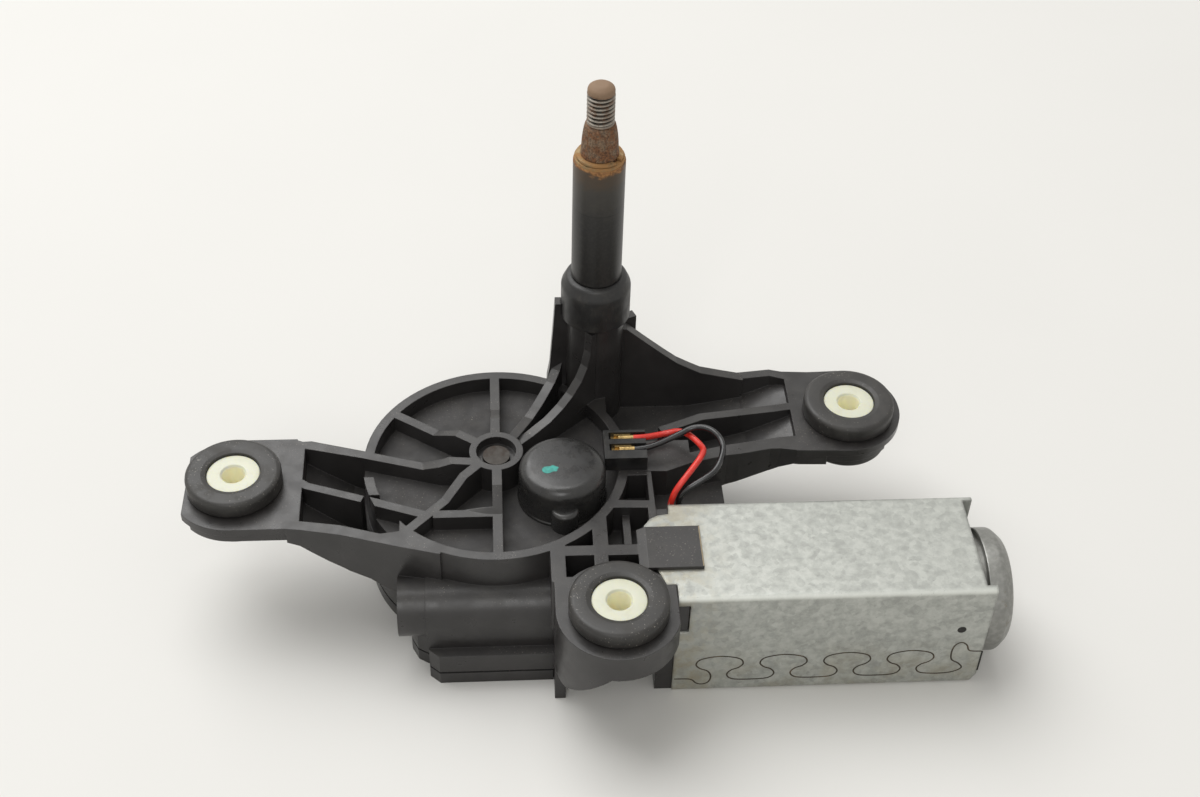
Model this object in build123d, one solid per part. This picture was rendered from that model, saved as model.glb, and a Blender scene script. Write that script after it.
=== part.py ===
from build123d import *
import os
from math import acos, atan2, cos, degrees, hypot, pi, radians, sin, tan

# Rear wiper motor with a moulded gear housing, millimetres, +Z up.
# Origin: the gear wheel's axis where it meets the flat underside of the gear cover.
# +X runs along the motor towards its can, and the spindle tower stands behind it (+Y).

# ---- driving dimensions: levels -------------------------------------------------------------
RIM_TOP = 41.0
POT_FLOOR_DEPTH = 5.3
FLOOR_THICKNESS = 2.5
COVER_PLATE = 2.5
COVER_TRAY = 4.2
GASKET = 0.8
HOUSING_BASE = COVER_TRAY + GASKET
POT_FLOOR = RIM_TOP - POT_FLOOR_DEPTH
POT_CEILING = POT_FLOOR - FLOOR_THICKNESS
ARM_FLOOR = RIM_TOP - 10.5
BAY_ROOF = ARM_FLOOR - FLOOR_THICKNESS

# ---- driving dimensions: housing ------------------------------------------------------------
POT_RADIUS = 39.4
POT_WALL = 2.9
RIB = 2.9
HUB_RADIUS = 8.0
HUB_RISE = 4.1
HUB_RECESS_RADIUS = 5.9
HUB_RECESS = 3.0
HUB_CONE_START = 14.0
HUB_CONE_END = 22.0
BOSS_RADIUS = 7.5
LUG_PLATE = 2.5
LUG_DEPTH = 6.0
LUG_LEFT = (-76.3, -7.25)
LUG_RIGHT = (108.5, 17.7)
LUG_FRONT = (32.7, -58.9)
LUG_LEFT_RADIUS = 18.3
LUG_FRONT_RADIUS = 17.3
LUG_HOLE_RADIUS = 10.6
SPINDLE = (30.75, 34.65)
BARREL_RADIUS = 8.75
BARREL_TOP = 69.0
BAY_WALL = 2.5
FLANGE_FRONT = -50.2
FLANGE_TOP = 12.0
FRONT_WALL = -47.0
FRONT_RIB = 3.7
LOW_RIB_DROP = 3.5
FRONT_RIB_Y = 2.65 - POT_RADIUS
SEAT_X = 49.5

# ---- driving dimensions: grommets and sleeves -----------------------------------------------
GROMMET_RADIUS = 13.9
GROMMET_RISE = 5.5
GROMMET_UNDERSIDE = 5.5
GROMMET_NECK_GAP = 0.2
GROMMET_ROUND = 1.0
GROMMET_STEP = 0.9
SLEEVE_FLANGE_RADIUS = 7.7
SLEEVE_FLANGE = 1.0
SLEEVE_RADIUS = 5.0
SLEEVE_BORE = 3.3
SLEEVE_SINK = 1.2
SLEEVE_FOOT = 0.2
SEAT_GAP = 0.05

# ---- driving dimensions: gearing ------------------------------------------------------------
MOTOR_Y = -37.5
MOTOR_Z = 20.5
PRESSURE_ANGLE = 20.0
WHEEL_TEETH = 60
WHEEL_MODULE = 1.05
WHEEL_WIDTH = 8.0
WHEEL_PITCH_RADIUS = WHEEL_MODULE * WHEEL_TEETH / 2
WHEEL_AXLE_RADIUS = 4.0
AXLE_HEAD_RADIUS = 4.9
AXLE_HEAD = 1.5
WORM_PITCH_RADIUS = -MOTOR_Y - WHEEL_PITCH_RADIUS
WORM_LENGTH = 24.0
TIP_GAP = 0.3
GEAR_BACKLASH = 0.3
CRANK_RADIUS = 7.35
CRANK_PIN_RADIUS = 2.0
ROD_LOW = 11.0
ROD_THICKNESS = 3.0
ROD_EYE_RADIUS = 4.0
OPEN_PIVOT_GAP = 0.3
SECTOR_LOW = 6.0
SECTOR_THICKNESS = 4.5
SECTOR_MODULE = 1.25
SECTOR_FULL_TEETH = 56
PINION_TEETH = 16
SECTOR_SIDE_TEETH = 4
SECTOR_AIM = 3.25
SECTOR_HUB_RADIUS = 4.2
SECTOR_PIN_RADIUS = 2.5
TAIL_LENGTH = 25.0
TAIL_OFFSET = 39.55
WIPE_ANGLE = 120.0
RUNNING_GAP = 0.05
PRESS_GAP = 0.02

# ---- driving dimensions: spindle ------------------------------------------------------------
SHAFT_RADIUS = 5.4
TUBE_RADIUS = 7.46
TUBE_BORE = 6.4
TUBE_SEAT = 40.0
TUBE_TOP = 125.0
TUBE_NECK_RADIUS = 7.1
COLLAR_RADIUS = 10.43
COLLAR_TOP = 84.0
COLLAR_LIP = 0.3
COLLAR_SHOULDER = 78.0
TUBE_SHOULDER = COLLAR_TOP + 0.3
BUSH_LENGTH = 12.0
CONE_LOW = 128.0
CONE_HIGH = 136.5
CONE_TOP_RADIUS = 4.3
THREAD_RADIUS = 3.94
THREAD_TOP = 146.0
SPINDLE_TOP = 149.0
TIP_RADIUS = 3.0
SHAFT_TAIL = 1.5
WASHER = 0.8
CLIP_THICKNESS = 0.6
CLIP_SINK = 0.4
CLIP_GAP = 2.4
CLIP_GAP_ANGLE = -40.0

# ---- driving dimensions: motor --------------------------------------------------------------
CAN_END = 136.1
CAN_BACK = -19.1
CAN_FRONT = -55.9
CAN_WALL = 2.0
CAN_LIP = 2.9
CAN_FOLD = 1.5
CAP_RADIUS = 18.0
CAP_END = CAN_END + 11.3
CAP_FILLET = 3.8
CAP_NECK_RADIUS = 16.2
CAP_BORE = 6.0
CAP_SOCKET_RADIUS = 6.95
SHAFT_SPIGOT = 4.5
ARMATURE_SHAFT_RADIUS = 3.0
CORE_RADIUS = 13.2
CORE_START = 76.0
CORE_END = CAN_END - 18.1
CORE_SLOTS = 10
MAGNET_INNER = 13.8
MAGNET_OUTER = 16.2
COMMUTATOR_RADIUS = 7.5
WORM_BORE = 7.4
WORM_TUBE_RADIUS = 9.5
WIRE_RADIUS = 0.925

HUB = (0.0, 0.0)
BOTTOM = (Align.CENTER, Align.CENTER, Align.MIN)


# ---- plain shapes ---------------------------------------------------------------------------
def outline(*points):
    """Flat face bounded by straight edges through the plan points."""
    return make_face(Polyline(*points, close=True))


def prism(face, low, high):
    """Upright prism of a plan face between two levels."""
    return Pos(0, 0, low) * extrude(face, amount=high - low)


def turned(centre, *profile):
    """Solid of revolution about an upright axis, from its (radius, height) outline."""
    return Pos(centre[0], centre[1], 0) * revolve(Plane.XZ * outline(*profile), Axis.Z)


def column(centre, radius, low, high):
    """Upright cylinder."""
    return Pos(centre[0], centre[1], low) * Cylinder(radius, high - low, align=BOTTOM)


def ring(centre, outer, inner, low, high):
    """Upright cylinder with a bore right through it."""
    return column(centre, outer, low, high) - column(centre, inner, low - 1, high + 1)


def round_topped(centre, radius, low, high, rounding, foot=None):
    """Upright cylinder, or cone on a wider foot, whose top edge is rounded off in three flats."""
    flats = [(radius - rounding * (1 - cos(radians(a))), high - rounding * (1 - sin(radians(a))))
             for a in (0, 30, 60, 90)]
    return turned(centre, (0, low), (foot or radius, low), *flats, (0, high))


def block(x0, x1, y0, y1, z0, z1):
    """Box between two corners."""
    middle = Pos((x0 + x1) / 2, (y0 + y1) / 2, (z0 + z1) / 2)
    return middle * Box(x1 - x0, y1 - y0, z1 - z0)


def rod_x(radius, x0, x1, y=MOTOR_Y, z=MOTOR_Z):
    """Cylinder along X, on the motor's axis unless told otherwise."""
    return Pos(x0, y, z) * Rot(0, 90, 0) * Cylinder(radius, x1 - x0, align=BOTTOM)


def side_prism(points, y0, y1):
    """Prism of an X-Z outline that runs from y0 to y1."""
    plane = Plane.XZ.offset(-y1)
    return extrude(plane * outline(*points), amount=y1 - y0)


def wall(start, end, width, low, high):
    """Upright straight rib between two plan points, with its centre line on them."""
    run = hypot(end[0] - start[0], end[1] - start[1])
    turn = degrees(atan2(end[1] - start[1], end[0] - start[0]))
    bar = Pos(run / 2, 0, (low + high) / 2) * Box(run, width, high - low)
    return Pos(start[0], start[1], 0) * Rot(0, 0, turn) * bar


def wall_chain(points, width, low, high):
    """Ribs through several plan points, rounded where they turn."""
    chain = [wall(a, b, width, low, high) for a, b in zip(points, points[1:])]
    chain += [column(p, width / 2, low, high) for p in points[1:-1]]
    return chain


def fin(start, end, width, profile):
    """Upright plate along a plan line; its outline is (distance from start, level)."""
    turn = degrees(atan2(end[1] - start[1], end[0] - start[0]))
    plate = side_prism(profile, -width / 2, width / 2)
    return Pos(start[0], start[1], 0) * Rot(0, 0, turn) * plate


def polar(radius, angle, centre=HUB):
    """Plan point at a radius and an angle in degrees round a centre."""
    return (centre[0] + radius * cos(radians(angle)), centre[1] + radius * sin(radians(angle)))


# ---- gear teeth -----------------------------------------------------------------------------
def involute(angle):
    return tan(angle) - angle


def tooth_half_angle(radius, pitch_radius, teeth, backlash):
    """Half of a tooth's angle at a radius, in radians; it stays constant below the base circle."""
    base = pitch_radius * cos(radians(PRESSURE_ANGLE))
    half = pi / teeth / 2 - backlash / 4 / pitch_radius
    at_radius = acos(min(1.0, base / radius))
    return half + involute(radians(PRESSURE_ANGLE)) - involute(at_radius)


def tooth_face(pitch_radius, teeth, tip, root, backlash, overlap=0.5):
    """Plan outline of one involute tooth that points along +X."""
    flank = [(r, tooth_half_angle(r, pitch_radius, teeth, backlash))
             for r in (root, pitch_radius, (pitch_radius + tip) / 2, tip)]
    upper = [(r * cos(a), r * sin(a)) for r, a in flank]
    lower = [(x, -y) for x, y in reversed(upper)]
    inner = root - overlap
    half = flank[0][1]
    foot = [(inner * cos(half), -inner * sin(half)), (inner * cos(half), inner * sin(half))]
    return outline(*upper, *lower, *foot)


# ---- gear housing ---------------------------------------------------------------------------
LEFT_ARM = [(-60.2, 10.9), (-57.9, 9.9), (-55.3, 10.0), (-38.9, 5.1), (-20, 5.1), (-10, -20),
            (-16.3, -36.7), (-27.6, -33.6), (-44.7, -28.4), (-56.1, -26.1), (-60.3, -25.6)]
LEFT_UNDERSIDE = [(-60.5, 35.3), (-56.8, 34.2), (-54, 32.3), (-48.8, 29.1), (-43, 26.2),
                  (-37, 24.6), (-34, 22.8), (-25, 19), (-5, 12)]
LEFT_POCKET = [(-57, 6.9), (-40, 2.4), (-28, -1.0), (-28, -27.5), (-33.4, -28.3),
               (-44.9, -24.6), (-56.6, -22.6)]
LEFT_POCKET_FLOOR = [(-58, 35.4), (-53, 32.8), (-48.8, 30.9), (-43, 28.3), (-37, 26.8)]
RIGHT_ARM = [(32.9, -6.4), (45.4, -5.8), (50.5, -6.1), (57.6, -3.0), (69.3, 0), (73.1, 0.4),
             (82.6, 2.3), (85.8, 2.3), (91.7, 1.3), (100, 1.0), (100, 36.3), (90.5, 36.9),
             (86.7, 38.0), (77.8, 37.0), (71.7, 36.4), (30, 36.4), (20, 20)]
RIGHT_UNDERSIDE = [(20, 26), (60, 26), (68, 28), (75.6, 29.9), (83, 31.8), (90, 35.0), (100, 35.0)]
RIGHT_POCKET = [(45, 6.9), (58, 6.9), (58, 1.5), (69.4, 4.3), (73.6, 5.0), (85.8, 7.2),
                (91, 7.6), (91, 33.4), (86.7, 35.0), (77, 33.9), (71, 33.2), (34, 33.2),
                (34, 20), (38, 6.9)]
RIGHT_POCKET_FLOOR = [(30, ARM_FLOOR), (60, ARM_FLOOR), (65, 31.3), (77, 33.6), (91, 38.5)]
FRONT_GRID = [(14.7, -26), (14.7, -48), (20, -50), (46, -50), (46, -34), (45.7, -6), (30, -6)]
MOTOR_BLOCK_START = 38.0
MOTOR_BLOCK_BACK = -19.6
COVER_GAP = 0.3
BAY_OUTLINE = [(8, -21), (MOTOR_BLOCK_START - COVER_GAP, -21),
               (MOTOR_BLOCK_START - COVER_GAP, MOTOR_BLOCK_BACK + COVER_GAP),
               (46.5, MOTOR_BLOCK_BACK + COVER_GAP), (46.5, -14.5), (68, -14.5), (68, 12),
               (46, 44), (20, 44), (0, 30)]
FLANGE_OUTLINE = [(-20.5, -47.5), (-17.5, FLANGE_FRONT),
                  (MOTOR_BLOCK_START - COVER_GAP, FLANGE_FRONT),
                  (MOTOR_BLOCK_START - COVER_GAP, -20), (-20.5, -20)]
CORNER_OUTLINE = [(-26, -28), (-26, -37), (-24, -41), (-20, -43.5), (-15, -43.5), (-15, -28)]
CONNECTOR_HALF = 10.0
CONNECTOR_BACK = 55.0
CONNECTOR_LOW = 4.5
CONNECTOR_HIGH = 24.0
CONNECTOR_WALL = 2.0
MOTOR_BAY = 3.5
FRONT_TAB = (15.5, 18.6, -57.0, -49.5)
SPIGOT = 3.5
SPIGOT_WALL = 1.5
TONGUE = 1.2
TONGUE_END = 57.6
LATCH = (SEAT_X - 1, 52.7, 27.1, 37.8)
CAN_SLIP = 0.1
SCREW_BOSS = 3.4
SCREW_CIRCLE = POT_RADIUS - SCREW_BOSS - 0.2
FRONT_SCREW_Y = FLANGE_FRONT + 4.8
SCREW_PLACES = [(-14, FRONT_SCREW_Y), (14, FRONT_SCREW_Y), (33.4, FRONT_SCREW_Y - 0.6),
                (63.6, -10.3), (44.2, 40.7), polar(SCREW_CIRCLE, 120.6), polar(SCREW_CIRCLE, 199.9)]
SCREW_DEPTH = 11.0


def lower_plan(margin=0.0):
    """Plan of everything that the gear cover closes, pulled in by a margin."""
    plan = Circle(POT_RADIUS)
    plan += outline(*BAY_OUTLINE)
    plan += Pos(*SPINDLE) * Circle(16)
    plan += outline(*FLANGE_OUTLINE)
    plan += outline(*CORNER_OUTLINE)
    x, y = MOTOR_BLOCK_START - COVER_GAP / 2, MOTOR_BLOCK_BACK + COVER_GAP / 2
    plan -= outline((x, y), (x, y - 60), (46.5, y - 60), (46.5, y))
    return offset(plan, -margin) if margin else plan


def chamber_plan(inset=0.0):
    """Plan of the space for the gears inside the lower body."""
    plan = Circle(POT_RADIUS - POT_WALL - inset)
    plan += offset(outline(*BAY_OUTLINE), -BAY_WALL - inset)
    plan += Pos(*SPINDLE) * Circle(16 - BAY_WALL - inset)
    return plan


def left_lug():
    x, y = LUG_LEFT
    r = LUG_LEFT_RADIUS
    flat_end = block(x - 14.2, x + 30, y - 30, y + 30, 0, RIM_TOP)
    plate = column(LUG_LEFT, r, RIM_TOP - LUG_PLATE, RIM_TOP)
    plate += block(x, -59.5, y - r, y + r, RIM_TOP - LUG_PLATE, RIM_TOP)
    skirt = column(LUG_LEFT, r - 1.2, RIM_TOP - LUG_DEPTH, RIM_TOP)
    skirt += block(x, -59.5, y - r + 1.2, y + r - 1.2, RIM_TOP - LUG_DEPTH, RIM_TOP)
    set_back = block(x - 12.2, x + 30, y - 30, y + 30, 0, RIM_TOP)
    return (plate & flat_end) + (skirt & set_back)


def right_lug():
    x, y = LUG_RIGHT
    edge = Polyline((106, 36.6), (96.5, 36.3), (90.5, 36.9), (90.5, 1.3), (104, 0.8))
    edge += ThreePointArc((104, 0.8), (120.4, 7.0), (124.9, 20))
    edge += ThreePointArc((124.9, 20), (119.6, 32.0), (106, 36.6))
    plan = make_face(edge)
    set_back = block(0, x + 10.5, y - 30, y + 30, 0, RIM_TOP)
    skirt = prism(offset(plan, -1.2), RIM_TOP - LUG_DEPTH, RIM_TOP) & set_back
    return prism(plan, RIM_TOP - LUG_PLATE, RIM_TOP) + skirt


def front_lug():
    x, y = LUG_FRONT
    r = LUG_FRONT_RADIUS
    low_side = [(x - 20, RIM_TOP), (x - 20, 17.5), (x - 14.7, 19.5), (x - 2.7, 32.0),
                (x + 20, 32.0), (x + 20, RIM_TOP)]
    cup = column(LUG_FRONT, r, 15, RIM_TOP) + block(x - r, x + r, y, -48, 15, RIM_TOP)
    cup &= side_prism(low_side, y - 20, -40)
    cup -= column(LUG_FRONT, r - 3.3, 0, RIM_TOP - LUG_DEPTH)
    cup -= block(SEAT_X - COVER_GAP, x + r + 1, y - r, y + r, 0, RIM_TOP + 1)
    return cup + block(*FRONT_TAB, 0, 22)


def front_pockets():
    """Open pockets between the ribs in front of the pot's rim; one keeps a low rib inside."""
    outside = ring(HUB, 90, POT_RADIUS, 10, 60)
    floor = RIM_TOP - 10
    row = FRONT_RIB_Y + FRONT_RIB / 2
    low_row = FRONT_RIB_Y - FRONT_RIB / 2
    front = FRONT_WALL + 0.5
    plans = [
        outline((18.9, row), (27, row), (27, row + 8.9)),
        outline((18.9, front), (18.9, low_row), (27, low_row), (27, front)),
        outline((31.3, row), (31.3, -20.3), (43.6, -20.8), (43.6, row)),
        outline((31, front), (31, low_row - 0.2), (45, low_row - 0.2), (45, front)),
        outline((34, -17.3), (34, -7.5), (44.3, -7.5), (44.3, -17.9)),
    ]
    lug = column(LUG_FRONT, LUG_FRONT_RADIUS, 0, 60)
    low_rib = block(36.2, 38.4, row - 1, -20, floor - 1, RIM_TOP - LOW_RIB_DROP)
    return [(prism(plan, floor, RIM_TOP + 1) & outside) - lug - low_rib for plan in plans]


def left_pockets():
    """Deep pockets of the left arm, outside the pot, and the cut through its rim."""
    plan = prism(outline(*LEFT_POCKET), 10, RIM_TOP + 1)
    above = side_prism([*LEFT_POCKET_FLOOR, (-27, 26.0), (-27, 60), (LEFT_POCKET_FLOOR[0][0], 60)],
                       -40, 20)
    deep = (plan & above) - column(HUB, POT_RADIUS, 0, 60)
    shallow = prism(outline(*LEFT_POCKET), POT_FLOOR, RIM_TOP + 1)
    return [deep, shallow]


def right_pocket():
    above = side_prism([*RIGHT_POCKET_FLOOR, (91, 60), (30, 60)], -10, 40)
    plan = prism(outline(*RIGHT_POCKET), 10, RIM_TOP + 1)
    barrel = column(SPINDLE, BARREL_RADIUS, 0, 60)
    return (plan & above) - column(HUB, POT_RADIUS, 0, 60) - barrel


def hub_cone():
    """Envelope of the pot's ribs: level at the rim, ramped up to the hub."""
    top = RIM_TOP + HUB_RISE
    profile = Polyline((0, POT_CEILING), (POT_RADIUS, POT_CEILING), (POT_RADIUS, RIM_TOP),
                       (HUB_CONE_END, RIM_TOP), (HUB_CONE_START, top), (0, top), close=True)
    return revolve(Plane.XZ * make_face(profile), Axis.Z)


def pot_ribs():
    """Ribs on the pot's floor, from the hub to the rim and into the left arm."""
    top = RIM_TOP + HUB_RISE
    r = POT_RADIUS - 1
    lines = [
        [(-0.2, 4), (-0.2, r)],
        [polar(4, 145.4), polar(r, 145.4)],
        [(-4, -4), (-28.2, -30)],
        [(0.1, -4), (0.1, -r)],
        [(0, -21.3), (-18.5, -21.3)],
        [(-4, -4.5), (-16.4, -3.3), (-39.7, 3.8)],
        [(-21, -21.2), (-33.8, -16.4), (-39, -14.5)],
    ]
    ribs = []
    for points in lines:
        ribs += wall_chain(points, RIB, POT_FLOOR - 1, top)
    cone = hub_cone()
    return [rib & cone for rib in ribs]


def arm_ribs():
    """Ribs and the rim's post inside the two arms."""
    post = ring(HUB, POT_RADIUS, POT_RADIUS - POT_WALL, 26, RIM_TOP)
    post &= block(-41, -33, -13, -5.7, 20, RIM_TOP)
    left = wall_chain([(-39, -14.5), (-42.6, -13.2), (-55.5, -8.6), (-57.5, -7.0)], 2.6, 26,
                      RIM_TOP)
    right = wall_chain([(50, 11.5), (56, 14), (63, 17), (86, 20), (92, 21)], RIB, ARM_FLOOR - 1,
                       RIM_TOP)
    return [post, *left, *right]


def tower():
    """Barrel of the spindle with its two ribs to the hub, its fins and its rear web."""
    x, y = SPINDLE
    low = POT_CEILING
    parts = [column(SPINDLE, BARREL_RADIUS, BAY_ROOF, BARREL_TOP)]
    parts.append(fin((2.6, 2.3), (20.0, 34.6), RIB,
                     [(0, low), (0, 45.1), (6, 44.0), (15.6, 43.0), (21, 43.4), (25.4, 44.2),
                      (30.4, 45.5), (34.2, 47.8), (36.4, 51.3), (37.7, 57.6), (38.6, 65),
                      (38.8, 71.5), (40.2, 71.5), (40.2, low)]))
    parts.append(fin((2.6, 2.3), (29.6, 26.6), RIB,
                     [(0, low), (0, 42.6), (10, 42.9), (17.5, 43.9), (22.9, 46.0), (26.8, 48.5),
                      (30.6, 52.2), (33.0, 56.3), (34.3, 61.4), (34.6, 68.0), (36.4, 68.0),
                      (36.4, low)]))
    left = [(16.0, low), (16.2, 43), (17.0, 48.4), (18.0, 64.5), (18.5, 73.5), (x, 73.5), (x, low)]
    parts.append(side_prism(left, y - 1.6, y + 1.75))
    parts.append(fin(SPINDLE, polar(13.4, 22, SPINDLE), 3.0,
                     [(0, low), (0, 64), (13.4, 64), (13.4, low)]))
    web = [(x, 26), (x, 64), (39, 63.1), (40.5, 62.9), (46.7, 57.3), (52.5, 52.2),
           (56.6, 48.8), (61, 46.2), (64.3, 44.4), (71.3, 42.6), (78, 41), (78, 26)]
    parts.append(side_prism(web, 33.2, 36.4))
    return parts


def connector_shroud():
    x = CONNECTOR_HALF
    return block(-x, x, 30, CONNECTOR_BACK, HOUSING_BASE, CONNECTOR_HIGH)


def motor_seat():
    """Block that carries the open end of the motor can, with its spigot."""
    seat = block(MOTOR_BLOCK_START, SEAT_X, CAN_FRONT + 1.2, MOTOR_BLOCK_BACK, 0,
                 RIM_TOP - CAN_WALL)
    inner_front = CAN_FRONT + CAN_WALL + CAN_SLIP
    inner_back = CAN_BACK - CAN_WALL - CAN_SLIP
    low = CAN_WALL + CAN_SLIP
    high = RIM_TOP - CAN_WALL - CAN_SLIP
    seat -= block(0, SEAT_X - MOTOR_BAY - SPIGOT_WALL, CAN_FRONT, FRONT_WALL - 0.5, -1, FLANGE_TOP + 6)
    spigot = block(SEAT_X - 1, SEAT_X + SPIGOT, inner_front, inner_back, low, high)
    x0, x1, z0, z1 = LATCH
    spigot += block(x0, x1, CAN_FRONT + 0.4, inner_front + 1, z0, z1)
    hollow = block(SEAT_X - MOTOR_BAY, SEAT_X + SPIGOT + 1, inner_front + SPIGOT_WALL,
                   inner_back - SPIGOT_WALL, low + SPIGOT_WALL, high - SPIGOT_WALL)
    return seat + spigot, hollow


def tongue():
    """Latch of the housing over the can's top plate."""
    top = RIM_TOP + TONGUE
    side = [(39.5, RIM_TOP - 1), (39.5, RIM_TOP), (42, top), (TONGUE_END, top),
            (TONGUE_END, RIM_TOP + SEAT_GAP), (42, RIM_TOP + SEAT_GAP), (42, RIM_TOP - 1)]
    return side_prism(side, -45, -29.5)


def can_tab_plan():
    """Plan of the tongue of the can's top plate that lies on the housing."""
    return outline((SEAT_X + 0.5, -18.8), (49.2, -23.6), (46, -24.1), (43.9, -25.3),
                   (41.9, -28), (41.5, -30), (41.7, -32.9), (42.8, -38.5), (44.9, -45.7),
                   (46.6, -50.3), (SEAT_X + 0.5, -50.3))


def make_housing():
    low_body = prism(lower_plan(), HOUSING_BASE, FLANGE_TOP)
    body = low_body + column(HUB, POT_RADIUS, HOUSING_BASE, RIM_TOP)
    body += prism(outline(*BAY_OUTLINE), HOUSING_BASE, ARM_FLOOR)
    body += column(SPINDLE, 16, HOUSING_BASE, ARM_FLOOR)
    body += block(-20.5, MOTOR_BLOCK_START + 1, FRONT_WALL, -20, HOUSING_BASE, MOTOR_Z)
    body += prism(outline(*CORNER_OUTLINE), HOUSING_BASE, MOTOR_Z)
    body += rod_x(WORM_TUBE_RADIUS, -21, SEAT_X - 2) + rod_x(WORM_TUBE_RADIUS - 0.5, -29, -20)
    left_side = side_prism([*LEFT_UNDERSIDE, (-5, RIM_TOP), (-60.5, RIM_TOP)], -45, 20)
    body += prism(outline(*LEFT_ARM), 10, RIM_TOP) & left_side
    right_side = side_prism([*RIGHT_UNDERSIDE, (100, RIM_TOP), (20, RIM_TOP)], -10, 40)
    body += prism(outline(*RIGHT_ARM), 20, RIM_TOP) & right_side
    body += prism(outline(*FRONT_GRID), MOTOR_Z, RIM_TOP)
    seat, hollow = motor_seat()
    body += seat
    body += left_lug() + right_lug() + front_lug()
    body += connector_shroud()

    recess = column(HUB, POT_RADIUS - POT_WALL, POT_FLOOR, RIM_TOP + 1)
    body -= recess
    for pocket in [*left_pockets(), right_pocket(), *front_pockets()]:
        body -= pocket
    body += column(HUB, HUB_RADIUS, POT_FLOOR - 1, RIM_TOP + HUB_RISE)
    for piece in [*pot_ribs(), *arm_ribs(), *tower()]:
        body += piece
    body -= column(SPINDLE, COLLAR_RADIUS + 0.1, BARREL_TOP, BARREL_TOP + 20)
    body += tongue()
    return hollow_out(body, hollow)


def hollow_out(body, motor_bay):
    """Cut the chambers, bores and seats of everything that the housing holds."""
    chamber = prism(chamber_plan(), HOUSING_BASE - 1, BAY_ROOF)
    chamber += column(HUB, POT_RADIUS - POT_WALL, HOUSING_BASE - 1, POT_CEILING)
    keep = column(HUB, BOSS_RADIUS, MOTOR_Z + WHEEL_WIDTH / 2 + 0.4, POT_CEILING + 1)
    keep += column(SPINDLE, BARREL_RADIUS, 14, BAY_ROOF + 1)
    for place in SCREW_PLACES:
        keep += column(place, SCREW_BOSS, HOUSING_BASE, HOUSING_BASE + SCREW_DEPTH)
    worm_room = rod_x(WORM_BORE, -20.5, 28)
    body -= (chamber - keep) - block(-30, 70, -60, -30.2, 0, 13)
    body -= worm_room
    body -= rod_x(5.0, 27, SEAT_X)
    body -= rod_x(4.0, -30, -20)
    body -= motor_bay
    body -= block(46.5, SEAT_X + 0.1, -25, -15.5, 21.9, 25.1)
    body -= prism(can_tab_plan(), RIM_TOP - CAN_WALL - 0.05, RIM_TOP + 0.02)
    for lug in (LUG_LEFT, LUG_RIGHT, LUG_FRONT):
        body -= column(lug, LUG_HOLE_RADIUS, 20, RIM_TOP + 1)
        body -= column(lug, GROMMET_RADIUS - GROMMET_STEP + 0.3, RIM_TOP - LUG_DEPTH - 7,
                       RIM_TOP - LUG_DEPTH)
    body -= column(HUB, WHEEL_AXLE_RADIUS + 0.02, 10, 60)
    body -= column(HUB, HUB_RECESS_RADIUS, RIM_TOP + HUB_RISE - HUB_RECESS, 60)
    body -= column(SPINDLE, TUBE_BORE + PRESS_GAP, 5, TUBE_SEAT)
    body -= column(SPINDLE, TUBE_NECK_RADIUS + PRESS_GAP, TUBE_SEAT, 100)
    body -= column(CAP_PLACE, CAP_SPIGOT + SEAT_GAP, 30, POT_FLOOR + 1)
    for place in SCREW_PLACES:
        body -= column(place, SCREW_RADIUS + 0.02, 0, HOUSING_BASE + SCREW_DEPTH - 1.5)
    x, wall_thickness = CONNECTOR_HALF - CONNECTOR_WALL, CONNECTOR_WALL
    body -= block(-x, x, 41.5, CONNECTOR_BACK + 1, CONNECTOR_LOW + wall_thickness + 1,
                  CONNECTOR_HIGH - wall_thickness)
    for place in PIN_PLACES:
        body -= block(place - PIN_HALF, place + PIN_HALF, 35, 42, PIN_LEVEL - 0.4,
                      PIN_LEVEL + 0.4)
    return body


# ---- small parts on the housing -------------------------------------------------------------
CAP_PLACE = (19.2, -9.7)
CAP_BASE_RADIUS = 13.2
CAP_TOP_RADIUS = 12.7
CAP_TOP = 49.0
CAP_SPIGOT = 6.0
CAP_ROUND = 3.6
CAP_LOBE = (19.5, -21.7)
CAP_LOBE_RADIUS = 4.1
CAP_LOBE_TOP = 42.6
CAP_LOBE_ROUND = 1.0
SCREW_RADIUS = 1.3
SCREW_HEAD_RADIUS = 2.8
SCREW_HEAD = 1.6
PIN_PLACES = (-4.5, -1.5, 1.5, 4.5)
PIN_HALF = 0.9
PIN_LEVEL = 11.0


def make_vent_cap():
    dome = round_topped(CAP_PLACE, CAP_TOP_RADIUS, POT_FLOOR, CAP_TOP, CAP_ROUND, CAP_BASE_RADIUS)
    lobe = round_topped(CAP_LOBE, CAP_LOBE_RADIUS, POT_FLOOR, CAP_LOBE_TOP, CAP_LOBE_ROUND)
    return dome + lobe + column(CAP_PLACE, CAP_SPIGOT, POT_CEILING + 0.2, POT_FLOOR)


def make_grommet(place):
    top = RIM_TOP + GROMMET_RISE
    bottom = RIM_TOP - LUG_DEPTH - GROMMET_UNDERSIDE
    upper = round_topped(place, GROMMET_RADIUS, RIM_TOP + SEAT_GAP, top, GROMMET_ROUND)
    lower = column(place, GROMMET_RADIUS - GROMMET_STEP, bottom, RIM_TOP - LUG_DEPTH - SEAT_GAP)
    neck = column(place, LUG_HOLE_RADIUS - GROMMET_NECK_GAP, bottom + 1, top - 1)
    body = upper + lower + neck
    body -= column(place, SLEEVE_RADIUS + SEAT_GAP, 0, 100)
    seat = top - SLEEVE_SINK - SLEEVE_FLANGE - SEAT_GAP
    return body - column(place, SLEEVE_FLANGE_RADIUS + SEAT_GAP, seat, 100)


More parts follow.
